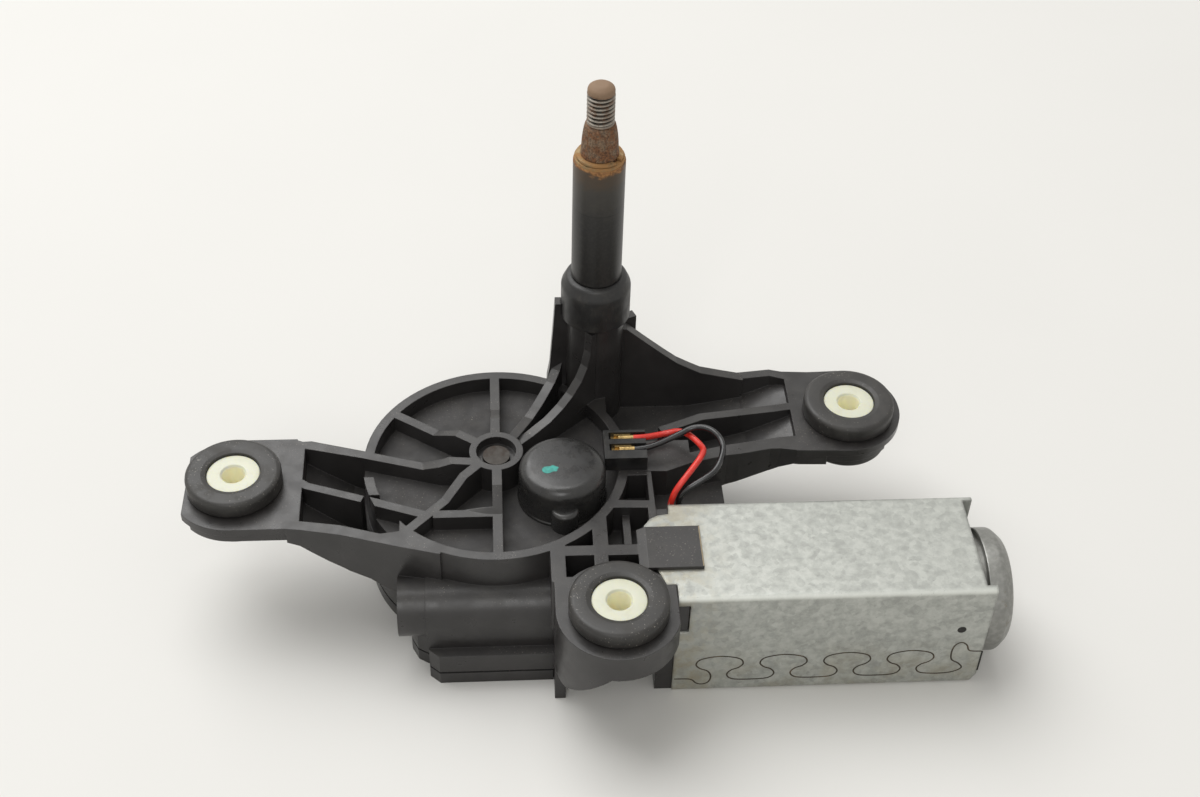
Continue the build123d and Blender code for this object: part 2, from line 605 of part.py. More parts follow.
def make_sleeve(place):
    top = RIM_TOP + GROMMET_RISE - SLEEVE_SINK
    bottom = RIM_TOP - LUG_DEPTH - GROMMET_UNDERSIDE - SLEEVE_FOOT
    barrel = column(place, SLEEVE_RADIUS, bottom, top)
    flange = column(place, SLEEVE_FLANGE_RADIUS, top - SLEEVE_FLANGE, top)
    return barrel + flange - column(place, SLEEVE_BORE, 0, 100)


# ---- spindle --------------------------------------------------------------------------------
def make_output_spindle():
    groove_low = TUBE_TOP + WASHER + 0.1
    groove_high = groove_low + CLIP_THICKNESS + 0.2
    groove_radius = SHAFT_RADIUS - CLIP_SINK
    tip = SPINDLE_TOP - THREAD_TOP
    return turned(SPINDLE, (0, SECTOR_LOW - SHAFT_TAIL), (SHAFT_RADIUS, SECTOR_LOW - SHAFT_TAIL),
                  (SHAFT_RADIUS, groove_low), (groove_radius, groove_low),
                  (groove_radius, groove_high), (SHAFT_RADIUS, groove_high),
                  (SHAFT_RADIUS, CONE_LOW), (CONE_TOP_RADIUS, CONE_HIGH),
                  (THREAD_RADIUS, CONE_HIGH + 0.1), (THREAD_RADIUS, THREAD_TOP),
                  (TIP_RADIUS, THREAD_TOP + 0.3 * tip), (TIP_RADIUS - 0.1, THREAD_TOP + 0.53 * tip),
                  (0.66 * TIP_RADIUS, THREAD_TOP + 0.87 * tip), (0.33 * TIP_RADIUS, SPINDLE_TOP),
                  (0, SPINDLE_TOP))


def make_tube():
    """Bearing tube, reduced to a neck inside the barrel and the collar."""
    neck = ring(SPINDLE, TUBE_NECK_RADIUS, TUBE_BORE, TUBE_SEAT, TUBE_SHOULDER)
    return neck + ring(SPINDLE, TUBE_RADIUS, TUBE_BORE, TUBE_SHOULDER, TUBE_TOP)


def make_collar():
    bore = TUBE_NECK_RADIUS + PRESS_GAP
    shoulder = TUBE_RADIUS + COLLAR_LIP
    drop = COLLAR_RADIUS - shoulder
    return turned(SPINDLE, (bore, BARREL_TOP), (COLLAR_RADIUS, BARREL_TOP),
                  (COLLAR_RADIUS, COLLAR_SHOULDER), (shoulder + 0.84 * drop, COLLAR_TOP - 4.2),
                  (shoulder + 0.55 * drop, COLLAR_TOP - 2.2), (shoulder, COLLAR_TOP),
                  (bore, COLLAR_TOP))


def make_circlip():
    low = TUBE_TOP + WASHER + 0.2
    clip = ring(SPINDLE, SHAFT_RADIUS + 1.3, SHAFT_RADIUS - CLIP_SINK + 0.05, low,
                low + CLIP_THICKNESS)
    return clip - wall(SPINDLE, polar(10, CLIP_GAP_ANGLE, SPINDLE), CLIP_GAP, low - 1, low + 2)


# ---- gear train -----------------------------------------------------------------------------
SECTOR_PIVOT = polar(-SECTOR_MODULE * (SECTOR_FULL_TEETH + PINION_TEETH) / 2, 90 - SECTOR_AIM,
                     SPINDLE)
SECTOR_SWING = WIPE_ANGLE * PINION_TEETH / SECTOR_FULL_TEETH
SECTOR_REST = 90 - SECTOR_AIM - SECTOR_SWING / 2
TAIL_PIN = polar(TAIL_LENGTH, SECTOR_REST + TAIL_OFFSET, SECTOR_PIVOT)
TAIL_REACH = hypot(*TAIL_PIN)
CRANK_PIN = (TAIL_PIN[0] * CRANK_RADIUS / TAIL_REACH, TAIL_PIN[1] * CRANK_RADIUS / TAIL_REACH)
WHEEL_LOW = MOTOR_Z - WHEEL_WIDTH / 2
WORM_LEAD = 2 * pi * WHEEL_PITCH_RADIUS / WHEEL_TEETH


def make_worm_wheel():
    """Helical wheel: slanted teeth round a webbed disc, with lightening pockets in its top."""
    tip = -MOTOR_Y - (WORM_PITCH_RADIUS - WHEEL_MODULE * 0.9 - TIP_GAP) - TIP_GAP
    root = WHEEL_PITCH_RADIUS - WHEEL_MODULE * 0.9 - TIP_GAP
    slant = WORM_LEAD / (2 * pi * WORM_PITCH_RADIUS)
    tooth = tooth_face(WHEEL_PITCH_RADIUS, WHEEL_TEETH, tip, root, GEAR_BACKLASH / 2)
    tooth = Pos(0, -slant * WHEEL_WIDTH / 2, WHEEL_LOW) * tooth
    tooth = extrude(tooth, amount=WHEEL_WIDTH, dir=(0, slant, 1))
    wheel = column(HUB, root, WHEEL_LOW, WHEEL_LOW + WHEEL_WIDTH)
    pocket = ring(HUB, root - 3.5, 10, WHEEL_LOW + WHEEL_WIDTH - 3, WHEEL_LOW + WHEEL_WIDTH + 1)
    for step in range(6):
        pocket -= wall(HUB, polar(root, 60 * step), 2.2, WHEEL_LOW, 60)
    wheel -= pocket
    wheel += [Rot(0, 0, -90 + 360 * step / WHEEL_TEETH) * tooth for step in range(WHEEL_TEETH)]
    wheel -= column(HUB, WHEEL_AXLE_RADIUS + RUNNING_GAP, 0, 60)
    wheel -= column(HUB, AXLE_HEAD_RADIUS + 0.15, 0, WHEEL_LOW + AXLE_HEAD + 0.1)
    return wheel - column(CRANK_PIN, CRANK_PIN_RADIUS + 0.02, 0, WHEEL_LOW + 4)


def make_sector():
    module = SECTOR_MODULE
    pitch = module * SECTOR_FULL_TEETH / 2
    root = pitch - 1.45
    tooth = tooth_face(pitch, SECTOR_FULL_TEETH, pitch + 1.1, root, GEAR_BACKLASH / 2)
    tooth = prism(tooth, 0, SECTOR_THICKNESS)
    step = 360 / SECTOR_FULL_TEETH
    half = step * (SECTOR_SIDE_TEETH + 0.55)
    low, high = 0, SECTOR_THICKNESS
    edges = [polar(root + 2, half * k / 4) for k in range(-4, 5)]
    web = column(HUB, root, low, high)
    web &= prism(outline((-4.0, -3.0), *edges, (-4.0, 3.0)), low, high)
    web -= column(polar(22, 0), 7, -1, 10)
    web += column(HUB, SECTOR_HUB_RADIUS, low, high)
    web += wall(HUB, polar(TAIL_LENGTH, TAIL_OFFSET), 6.5, low, high)
    web += column(polar(TAIL_LENGTH, TAIL_OFFSET), ROD_EYE_RADIUS, low, high)
    web += [Rot(0, 0, step * k) * tooth for k in range(-SECTOR_SIDE_TEETH, SECTOR_SIDE_TEETH + 1)]
    web -= column(HUB, SECTOR_PIN_RADIUS + RUNNING_GAP, -1, 10)
    web -= column(polar(TAIL_LENGTH, TAIL_OFFSET), CRANK_PIN_RADIUS + 0.02, -1, 10)
    return Pos(SECTOR_PIVOT[0], SECTOR_PIVOT[1], SECTOR_LOW) * Rot(0, 0, SECTOR_REST) * web


def pinion_phase():
    """Angle of a pinion tooth that meets a gap of the sector at rest."""
    line = 90 - SECTOR_AIM
    sector_step = 360 / SECTOR_FULL_TEETH
    pinion_step = 360 / PINION_TEETH
    past_tooth = ((line - SECTOR_REST) / sector_step) % 1
    return line + 180 + (past_tooth - 0.5) * pinion_step


def make_pinion():
    module = SECTOR_MODULE
    pitch = module * PINION_TEETH / 2
    root = pitch - 1.45
    tooth = tooth_face(pitch, PINION_TEETH, pitch + 1.1, root, GEAR_BACKLASH / 2)
    tooth = prism(tooth, 0, SECTOR_THICKNESS)
    gear = column(HUB, root, 0, SECTOR_THICKNESS)
    turn = pinion_phase()
    gear += [Rot(0, 0, turn + 360 * k / PINION_TEETH) * tooth for k in range(PINION_TEETH)]
    gear -= column(HUB, SHAFT_RADIUS + 0.02, -1, 10)
    return Pos(SPINDLE[0], SPINDLE[1], SECTOR_LOW) * gear


def make_rod():
    high = ROD_LOW + ROD_THICKNESS
    rod = wall(TAIL_PIN, CRANK_PIN, 5.0, ROD_LOW, high)
    rod += column(TAIL_PIN, ROD_EYE_RADIUS, ROD_LOW, high)
    rod += column(CRANK_PIN, ROD_EYE_RADIUS, ROD_LOW, high)
    for place in (TAIL_PIN, CRANK_PIN):
        rod -= column(place, CRANK_PIN_RADIUS + RUNNING_GAP, 0, 60)
    return rod


def make_axle_pin():
    pin = column(HUB, WHEEL_AXLE_RADIUS, WHEEL_LOW, RIM_TOP + HUB_RISE - HUB_RECESS + 1.2)
    return pin + column(HUB, AXLE_HEAD_RADIUS, WHEEL_LOW, WHEEL_LOW + AXLE_HEAD)


# ---- motor ----------------------------------------------------------------------------------
def make_armature_shaft():
    """Shaft with its worm: a trapezoid thread swept along a helix and fused to its root."""
    tip = WORM_PITCH_RADIUS + WHEEL_MODULE * 0.9
    root = WORM_PITCH_RADIUS - WHEEL_MODULE * 0.9 - TIP_GAP
    slope = tan(radians(PRESSURE_ANGLE))
    half = (WORM_LEAD - GEAR_BACKLASH) / 4
    foot = root - 0.3
    turns = int(WORM_LENGTH / WORM_LEAD)
    height = turns * WORM_LEAD
    path = Helix(pitch=WORM_LEAD, height=height, radius=WORM_PITCH_RADIUS)
    face = outline((foot, -half - (WORM_PITCH_RADIUS - foot) * slope),
                   (tip, -half + (tip - WORM_PITCH_RADIUS) * slope),
                   (tip, half - (tip - WORM_PITCH_RADIUS) * slope),
                   (foot, half + (WORM_PITCH_RADIUS - foot) * slope))
    thread = sweep(Plane.XZ * face, path=path, is_frenet=True)
    start = WORM_LEAD / 4 - (turns // 2) * WORM_LEAD
    thread = Pos(start, MOTOR_Y, MOTOR_Z) * Rot(0, 90, 0) * thread
    shaft = rod_x(root, start - 2.5, start + height + 2.5) + thread
    shaft += rod_x(ARMATURE_SHAFT_RADIUS, -20.4, CAN_END + SHAFT_SPIGOT)
    return shaft


def make_core():
    core = rod_x(CORE_RADIUS, CORE_START, CORE_END)
    for step in range(CORE_SLOTS):
        slot = Pos(0, 0, CORE_RADIUS - 3.4) * Box(CORE_END - CORE_START + 2, 3.6, 5.0)
        slot += Pos(0, 0, CORE_RADIUS) * Box(CORE_END - CORE_START + 2, 1.6, 4.0)
        turn = Rot(360 * step / CORE_SLOTS, 0, 0)
        core -= Pos((CORE_START + CORE_END) / 2, MOTOR_Y, MOTOR_Z) * turn * slot
    return core - rod_x(ARMATURE_SHAFT_RADIUS + 0.02, CORE_START - 1, CORE_END + 1)


def make_windings():
    coils = []
    middle = (CORE_START + CORE_END) / 2
    for step in range(CORE_SLOTS):
        bar = Pos(0, 0, CORE_RADIUS - 3.4) * Box(CORE_END - CORE_START + 3, 3.2, 4.6)
        coils.append(Pos(middle, MOTOR_Y, MOTOR_Z) * Rot(360 * step / CORE_SLOTS, 0, 0) * bar)
    ends = rod_x(CORE_RADIUS - 1.0, CORE_START - 6, CORE_START - 0.3)
    ends += rod_x(CORE_RADIUS - 1.0, CORE_END + 0.3, CORE_END + 6)
    body = ends
    for bar in coils:
        body += bar
    return body - rod_x(ARMATURE_SHAFT_RADIUS + 0.3, CORE_START - 10, CORE_END + 10)


def make_commutator():
    body = rod_x(COMMUTATOR_RADIUS, 54, 68)
    return body - rod_x(ARMATURE_SHAFT_RADIUS + 0.02, 50, 70)


def make_magnets():
    arcs = rod_x(MAGNET_OUTER, CORE_START - 6, CORE_END + 6)
    arcs -= rod_x(MAGNET_INNER, CORE_START - 7, CORE_END + 7)
    gap = block(CORE_START - 7, CORE_END + 7, MOTOR_Y - 8, MOTOR_Y + 8, 0, 60)
    return arcs - gap


def make_can():
    outer = block(SEAT_X, CAN_END + CAN_LIP, CAN_FRONT, CAN_BACK, 0, RIM_TOP)
    long_edges = outer.edges().filter_by(Axis.X)
    outer = fillet(long_edges, CAN_FOLD)
    outer += prism(can_tab_plan(), RIM_TOP - CAN_WALL, RIM_TOP)
    inner = block(SEAT_X - 1, CAN_END - CAN_WALL, CAN_FRONT + CAN_WALL, CAN_BACK - CAN_WALL,
                  CAN_WALL, RIM_TOP - CAN_WALL)
    can = outer - inner
    face = block(CAN_END, CAN_END + 10, CAN_FRONT + 6.5, CAN_BACK - 3.4, -1, 50)
    can -= face
    can -= block(CAN_END, CAN_END + 10, CAN_FRONT + CAN_WALL, CAN_BACK - CAN_WALL, -1, 50)
    corner = [(CAN_END + 0.9, -1), (CAN_END + 0.9, 0), (CAN_END + 3.6, 5.7), (CAN_END + 9, 5.7),
              (CAN_END + 9, -1)]
    can -= side_prism(corner, CAN_FRONT - 1, CAN_FRONT + 8)
    x0, x1, z0, z1 = LATCH
    can -= block(x0, x1 + 0.3, CAN_FRONT - 1, CAN_FRONT + CAN_WALL + 0.5, z0 - 0.3, z1 + 0.3)
    can -= rod_x(CAP_SOCKET_RADIUS + SEAT_GAP, CAN_END - 5, CAN_END + 5)
    return can


def make_end_cap():
    neck = CAN_END + CAN_LIP + 0.1
    dome = round_topped(HUB, CAP_RADIUS, neck, CAP_END, CAP_FILLET)
    dome += column(HUB, CAP_NECK_RADIUS, CAN_END, neck + 0.5)
    cap = Pos(0, MOTOR_Y, MOTOR_Z) * Rot(0, 90, 0) * dome
    cap += rod_x(CAP_SOCKET_RADIUS, CAN_END - 3, CAN_END + 1)
    return cap - rod_x(CAP_BORE, CAN_END - 4, CAP_END - 2.5)


def make_rear_bearing():
    bush = rod_x(CAP_BORE - 0.03, CAN_END - 2, CAN_END + 4)
    return bush - rod_x(ARMATURE_SHAFT_RADIUS + RUNNING_GAP, CAN_END - 5, CAN_END + 6)


def make_front_bearing():
    bush = rod_x(4.98, 30, 37)
    return bush - rod_x(ARMATURE_SHAFT_RADIUS + RUNNING_GAP, 28, 40)


def make_brush_plate():
    plate = block(46.2, 49.2, CAN_FRONT + 4.2, CAN_BACK - 4.2, 5, 36)
    plate += block(46.6, 54.0, -18.6, -15.9, 22, 25)
    plate += block(46.6, 49.2, -26, -15.9, 22, 25)
    for side in (-1, 1):
        low = MOTOR_Y + side * 9.6
        holder = block(49, 66, min(low, low + side * 4.8), max(low, low + side * 4.8), 15.5,
                       25.5)
        holder -= block(57, 63.1, MOTOR_Y - 20, MOTOR_Y + 20, 17.4, 23.6)
        edge = MOTOR_Y + side * 13.6
        holder -= block(50, 58, min(edge, edge + side * 2), max(edge, edge + side * 2), 18.4,
                        22.6)
        plate += holder
    return plate - rod_x(8.2, 40, 70)


def make_brushes():
    pair = []
    for side in (-1, 1):
        near = MOTOR_Y + side * (COMMUTATOR_RADIUS + 0.1)
        far = MOTOR_Y + side * 13.6
        pair.append(block(57.05, 63.05, min(near, far), max(near, far), 17.45, 23.55))
    return pair


def make_brush_springs():
    """Two leaf springs that press on the backs of the brushes."""
    pair = []
    for side in (-1, 1):
        start = MOTOR_Y + side * 13.7
        end = MOTOR_Y + side * 14.1
        pair.append(block(50.05, 63, min(start, end), max(start, end), 18.5, 22.5))
    return pair


# ---- cover, connector, terminals and wires --------------------------------------------------
def front_tab_room():
    """Notch that lets the housing's front tab pass the cover and its gasket."""
    x0, x1, y0, y1 = FRONT_TAB
    return block(x0 - 0.2, x1 + 0.2, y0, y1 + 0.2, -1, HOUSING_BASE)


def make_cover():
    tray = prism(lower_plan(), 0, COVER_TRAY)
    tray -= prism(chamber_plan(0.3), COVER_PLATE, 20)
    for place in SCREW_PLACES:
        tray += column(place, SCREW_BOSS, 0.5, COVER_TRAY)
    tray += column(SECTOR_PIVOT, 5.0, 1, SECTOR_LOW - 0.3)
    tray -= column(SECTOR_PIVOT, SECTOR_PIN_RADIUS + 0.02, 1.2, 10)
    tray -= column(SPINDLE, SHAFT_RADIUS + RUNNING_GAP, COVER_PLATE - 0.1, 10)
    for place in SCREW_PLACES:
        tray -= column(place, SCREW_RADIUS + 0.4, -1, 10)
        tray -= column(place, SCREW_HEAD_RADIUS + 0.2, -1, SCREW_HEAD + 0.3)
    return tray - front_tab_room()


def make_gasket():
    seal = prism(lower_plan(0.6), COVER_TRAY, HOUSING_BASE)
    seal -= prism(chamber_plan(-0.4), 0, 10)
    for place in SCREW_PLACES:
        seal -= column(place, SCREW_RADIUS + 0.5, 0, 10)
    return seal - front_tab_room()


def make_screws():
    group = []
    for place in SCREW_PLACES:
        screw = column(place, SCREW_HEAD_RADIUS, 0.3, 0.3 + SCREW_HEAD)
        screw += column(place, SCREW_RADIUS, 0.3, HOUSING_BASE + SCREW_DEPTH - 2.5)
        group.append(screw)
    return group


def make_connector_pins():
    pins = []
    for place in PIN_PLACES:
        blade = block(place - 0.85, place + 0.85, 36.8, 50, PIN_LEVEL - 0.35, PIN_LEVEL + 0.35)
        pins.append(blade)
    return pins


HOLDER = (32.0, 44.6, -5.3, 6.7)
HOLDER_TOP = 46.0
CHANNEL_FLOOR = 43.9
FEED_Y = 4.3
RETURN_Y = -0.5
CHANNEL = 2.8
TERMINAL_END = 41.0
CRIMP_HEIGHT = 1.5


def make_terminal_holder():
    x0, x1, y0, y1 = HOLDER
    holder = block(x0, x1, y0, y1, RIM_TOP, HOLDER_TOP)
    for y in (FEED_Y, RETURN_Y):
        holder -= block(x0 + 1.6, x1 + 1, y - CHANNEL / 2, y + CHANNEL / 2, CHANNEL_FLOOR, 60)
    return holder


def make_terminal(y):
    half = CHANNEL / 2 - 0.1
    lug = block(34.3, TERMINAL_END, y - half, y + half, CHANNEL_FLOOR, CHANNEL_FLOOR + 0.6)
    for side in (-1, 1):
        edge = y + side * half
        lug += block(35.2, 40.2, min(edge, edge - side * 0.6), max(edge, edge - side * 0.6),
                     CHANNEL_FLOOR, CHANNEL_FLOOR + CRIMP_HEIGHT)
    lug += rod_x(WIRE_RADIUS, 36.5, TERMINAL_END, y, CHANNEL_FLOOR + WIRE_RADIUS + 0.1)
    return lug


WIRE_LEVEL = CHANNEL_FLOOR + WIRE_RADIUS + 0.1
WIRE_END = 25.15
RED_ROUTE = [(TERMINAL_END, FEED_Y, WIRE_LEVEL), (44.4, FEED_Y, WIRE_LEVEL), (50.6, 7.1, 43.6),
             (56.2, 6.2, 46.0), (61.4, -1.5, 46.3), (60.9, -6.4, 48.0), (55.4, -13.6, 46.5),
             (51.2, -16.7, 42.1), (50.6, -16.2, 33.6), (50.4, -17.2, WIRE_END)]
BLACK_ROUTE = [(TERMINAL_END, RETURN_Y, WIRE_LEVEL), (44.6, RETURN_Y, WIRE_LEVEL),
               (53.8, 2.5, 47.1), (59.1, 4.8, 48.7), (64.3, 2.3, 49.9), (67.7, -2.9, 48.2),
               (64.7, -11.8, 47.4), (60.6, -14.3, 45.8), (52.9, -16.5, 42.0), (53.5, -16.2, 32.5),
               (52.9, -17.2, WIRE_END)]


def make_wire(route):
    """Round wire along straight runs joined by arcs as large as the runs allow."""
    points = [Vector(*p) for p in route]
    radii = []
    for before, here, after in zip(points, points[1:], points[2:]):
        turn = radians((here - before).get_angle(after - here))
        shorter = min((here - before).length, (after - here).length)
        radii.append(0.45 * shorter / tan(turn / 2))
    print("bend radii", [round(r, 1) for r in radii])
    path = FilletPolyline(*points, radius=radii)
    start = Plane(origin=points[0], z_dir=points[1] - points[0])
    wire = sweep(start * Circle(WIRE_RADIUS), path=path)
    print("volume", round(wire.volume, 2), "section x length",
          round(pi * WIRE_RADIUS ** 2 * path.length, 2), "length", round(path.length, 1))
    return wire


def save(name, shape):
    """Write one node; a list of solids becomes one compound."""
    if isinstance(shape, list):
        shape = Compound(children=[piece.solid() for piece in shape])
    elif len(shape.solids()) == 1:
        shape = shape.solid()
    export_step(shape, f"parts/{name}.step")
    print(f"{name}: {len(shape.solids())} solid(s), volume {shape.volume:.1f}")


def main():
    os.makedirs("parts", exist_ok=True)
    save("gear_housing", make_housing())
    save("vent_cap", make_vent_cap())
    for side, place in (("left", LUG_LEFT), ("right", LUG_RIGHT), ("front", LUG_FRONT)):
        save(f"grommet_{side}", make_grommet(place))
        save(f"sleeve_{side}", make_sleeve(place))

    save("spindle_tube", make_tube())
    save("spindle_collar", make_collar())
    bush_bore = SHAFT_RADIUS + 0.03
    save("lower_bush", ring(SPINDLE, TUBE_BORE, bush_bore, TUBE_SEAT - BUSH_LENGTH, TUBE_SEAT))
    save("upper_bush", ring(SPINDLE, TUBE_BORE - 0.02, bush_bore, TUBE_TOP - 1 - BUSH_LENGTH,
                            TUBE_TOP - 1))
    save("output_spindle", make_output_spindle())
    save("spindle_washer", ring(SPINDLE, TUBE_RADIUS - 0.3, SHAFT_RADIUS + 0.06,
                                TUBE_TOP, TUBE_TOP + WASHER))
    save("spindle_circlip", make_circlip())

    save("worm_wheel", make_worm_wheel())
    save("wheel_axle_pin", make_axle_pin())
    save("crank_pin", column(CRANK_PIN, CRANK_PIN_RADIUS, ROD_LOW + ROD_THICKNESS
                             + OPEN_PIVOT_GAP, WHEEL_LOW + 3.9))
    save("connecting_rod", make_rod())
    save("rod_pin", column(TAIL_PIN, CRANK_PIN_RADIUS, SECTOR_LOW, ROD_LOW + ROD_THICKNESS))
    save("sector_gear", make_sector())
    save("sector_pivot_pin", column(SECTOR_PIVOT, SECTOR_PIN_RADIUS, 1.2,
                                    SECTOR_LOW + SECTOR_THICKNESS + 0.3))
    save("pinion", make_pinion())

    save("armature_shaft", make_armature_shaft())
    save("armature_core", make_core())
    save("armature_windings", make_windings())
    save("commutator", make_commutator())
    save("magnets", [s for s in make_magnets().solids()])
    save("motor_can", make_can())
    save("can_end_cap", make_end_cap())
    save("rear_bearing", make_rear_bearing())
    save("front_bearing", make_front_bearing())
    save("thrust_plug", rod_x(3.98, -28.5, -20.6))
    save("brush_plate", make_brush_plate())
    save("brushes", make_brushes())
    save("brush_springs", make_brush_springs())

    save("gear_cover", make_cover())
    save("cover_gasket", make_gasket())
    save("cover_screws", make_screws())
    save("connector_pins", make_connector_pins())
    save("terminal_holder", make_terminal_holder())
    save("terminal_feed", make_terminal(FEED_Y))
    save("terminal_return", make_terminal(RETURN_Y))
    save("red_wire", make_wire(RED_ROUTE))
    save("black_wire", make_wire(BLACK_ROUTE))


main()
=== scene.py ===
"""Rear wiper motor: finishes, turned rubber and nylon parts, thread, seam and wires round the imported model.

Each operator makes one piece or one group of like pieces, and the panel lists them in their order. Sizes are
in metres, except routes that say millimetres, and colours are linear. Every piece stays at the origin, with
its place in its mesh.
"""

import math

import bmesh
import bpy
import numpy as np
from mathutils import Matrix, Vector


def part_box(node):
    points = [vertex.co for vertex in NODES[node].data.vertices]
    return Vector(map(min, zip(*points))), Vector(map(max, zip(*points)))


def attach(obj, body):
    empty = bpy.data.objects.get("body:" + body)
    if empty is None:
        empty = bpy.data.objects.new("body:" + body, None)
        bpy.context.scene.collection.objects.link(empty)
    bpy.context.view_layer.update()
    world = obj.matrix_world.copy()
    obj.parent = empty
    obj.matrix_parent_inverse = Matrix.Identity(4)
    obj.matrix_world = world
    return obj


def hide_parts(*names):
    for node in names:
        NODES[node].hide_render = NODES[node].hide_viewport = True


bl_info = {
    "name": "Wiper Motor Dressing",
    "version": (1, 0, 0),
    "blender": (4, 5, 0),
    "location": "View3D > Sidebar > Wiper Motor",
    "description": "Finishes and fine parts of a rear wiper motor, laid over its packed solids",
    "category": "Object",
}

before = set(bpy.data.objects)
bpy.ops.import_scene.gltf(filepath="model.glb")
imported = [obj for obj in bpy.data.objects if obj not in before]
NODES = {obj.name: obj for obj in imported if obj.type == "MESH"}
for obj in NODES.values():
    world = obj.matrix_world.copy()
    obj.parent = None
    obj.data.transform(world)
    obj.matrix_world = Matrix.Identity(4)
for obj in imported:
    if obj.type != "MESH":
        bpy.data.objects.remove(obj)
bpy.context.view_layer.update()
MM = 0.001
SENSOR = 36.0


# ---- sizes and colours that a user may change ------------------------------------------------
def length(name, description, value):
    """Length property in metres."""
    return bpy.props.FloatProperty(
        name=name, description=description, default=value, subtype="DISTANCE", unit="LENGTH", precision=5
    )


def colour(name, description, value):
    """Colour property, linear."""
    return bpy.props.FloatVectorProperty(
        name=name, description=description, default=value, size=3, min=0, max=1, subtype="COLOR"
    )


def place(name, description, value):
    """Place property: a point in metres."""
    return bpy.props.FloatVectorProperty(
        name=name, description=description, default=value, size=3, subtype="XYZ", unit="LENGTH"
    )


def tilt(name, description, value):
    """Angle property in radians."""
    return bpy.props.FloatProperty(
        name=name, description=description, default=value, subtype="ANGLE", unit="ROTATION"
    )


def power(name, description, value):
    """Lamp power property in watts."""
    return bpy.props.FloatProperty(name=name, description=description, default=value, min=0, unit="POWER")


def strength(name, description, value):
    """Strength property without a unit."""
    return bpy.props.FloatProperty(name=name, description=description, default=value, min=0)


class WiperMotorSizes(bpy.types.PropertyGroup):
    """Fine sizes that the solids leave out."""

    thread_pitch: length("Thread pitch", "Pitch of the wiper arm's thread", 1.25 * MM)
    thread_depth: length("Thread depth", "Crest to root of the thread", 0.62 * MM)
    grommet_round: length("Grommet rounding", "Radius of the grommet's outer top edge", 1.5 * MM)
    seam_width: length("Seam width", "Width of the dark joint line in the can's front", 0.5 * MM)
    fold_round: length("Fold radius", "Softening of the can's folded edges", 1.3 * MM)
    edge_round: length("Moulded edge radius", "Softening of the moulded housing's edges", 0.35 * MM)
    wire_diameter: length("Wire diameter", "Outside diameter of the jumper wires", 1.85 * MM)


class WiperMotorColours(bpy.types.PropertyGroup):
    """Base colours of the finishes."""

    housing: colour("Housing", "Black moulded plastic", (0.0270, 0.0252, 0.0246))
    # On upward faces of the housing this colour is partly real dust and partly painted sheen.
    dust: colour("Dust", "Dust that settles on upward faces", (0.085, 0.078, 0.066))
    rubber: colour("Grommet rubber", "Matt rubber", (0.026, 0.0245, 0.0228))
    nylon: colour("Sleeve", "Off-white nylon", (0.67, 0.675, 0.545))
    zinc: colour("Zinc plate", "Plated sheet steel", (0.410, 0.420, 0.392))
    stain: colour("Stain", "Brown stain in the plating", (0.30, 0.26, 0.17))
    rust: colour("Rust", "Rust on the spindle", (0.17, 0.070, 0.025))
    cap: colour("Vent cap", "Glossier black plastic", (0.021, 0.0205, 0.020))
    collar: colour("Collar", "Black plastic at the tower's top", (0.011, 0.0105, 0.0105))
    pressed: colour("Bearing cap", "Pressed steel at the can's end", (0.26, 0.26, 0.245))
    seam: colour("Seam", "Dark joint line in the can", (0.035, 0.026, 0.017))
    steel: colour("Steel", "Bare steel", (0.33, 0.31, 0.28))
    brass: colour("Brass", "Terminals, pins and springs", (0.42, 0.29, 0.12))
    paint: colour("Marking paint", "Dab on the vent cap", (0.022, 0.25, 0.21))
    red: colour("Red wire", "Red insulation", (0.75, 0.035, 0.022))
    black: colour("Black wire", "Black insulation", (0.012, 0.012, 0.013))
    acetal: colour("Acetal", "Worm wheel and thrust plug", (0.72, 0.69, 0.58))
    bronze: colour("Bronze", "Bushes and bearings", (0.42, 0.26, 0.12))
    copper: colour("Copper", "Windings and commutator", (0.52, 0.2, 0.08))


class WiperMotorStage(bpy.types.PropertyGroup):
    """Camera and light of the studio."""

    camera_place: place("Camera place", "Where the camera stands", (2.288 * MM, -350.885 * MM, 390.686 * MM))
    camera_yaw: tilt("Yaw", "Turn to the right of straight ahead", 0.0797)
    camera_pitch: tilt("Pitch", "Tilt below the horizon", 0.7462)
    camera_roll: tilt("Roll", "Roll about the line of sight", -0.0326)
    lens: bpy.props.FloatProperty(
        name="Focal length", description="For a sensor 36 mm wide", default=49.772, unit="CAMERA"
    )
    aim: place("Lamp aim", "Point that both lamps face", (0.0, 0.0, 0.03))
    overhead_place: place("Overhead lamp", "Middle of the large soft box behind", (-0.75, 0.95, 2.12))
    overhead_size: length("Overhead size", "Side of the large soft box", 2.2)
    overhead_power: power("Overhead power", "Power of the large soft box", 54.0)
    front_place: place("Front lamp", "Middle of the small soft box in front", (-0.25, -1.50, 1.55))
    front_size: length("Front size", "Side of the small soft box", 0.9)
    front_power: power("Front power", "Power of the small soft box", 8.0)
    surround: colour("Surround", "Colour of the surround", (1.0, 0.99, 0.955))
    surround_light: strength("Surround light", "Strength of the surround as light on the part", 0.42)
    surround_seen: strength("Surround seen", "Strength to the camera and in reflections", 0.85)
    floor: colour("Floor", "Pale floor", (0.765, 0.755, 0.727))
    floor_half: length("Floor reach", "Half the side of the square floor", 3.0)


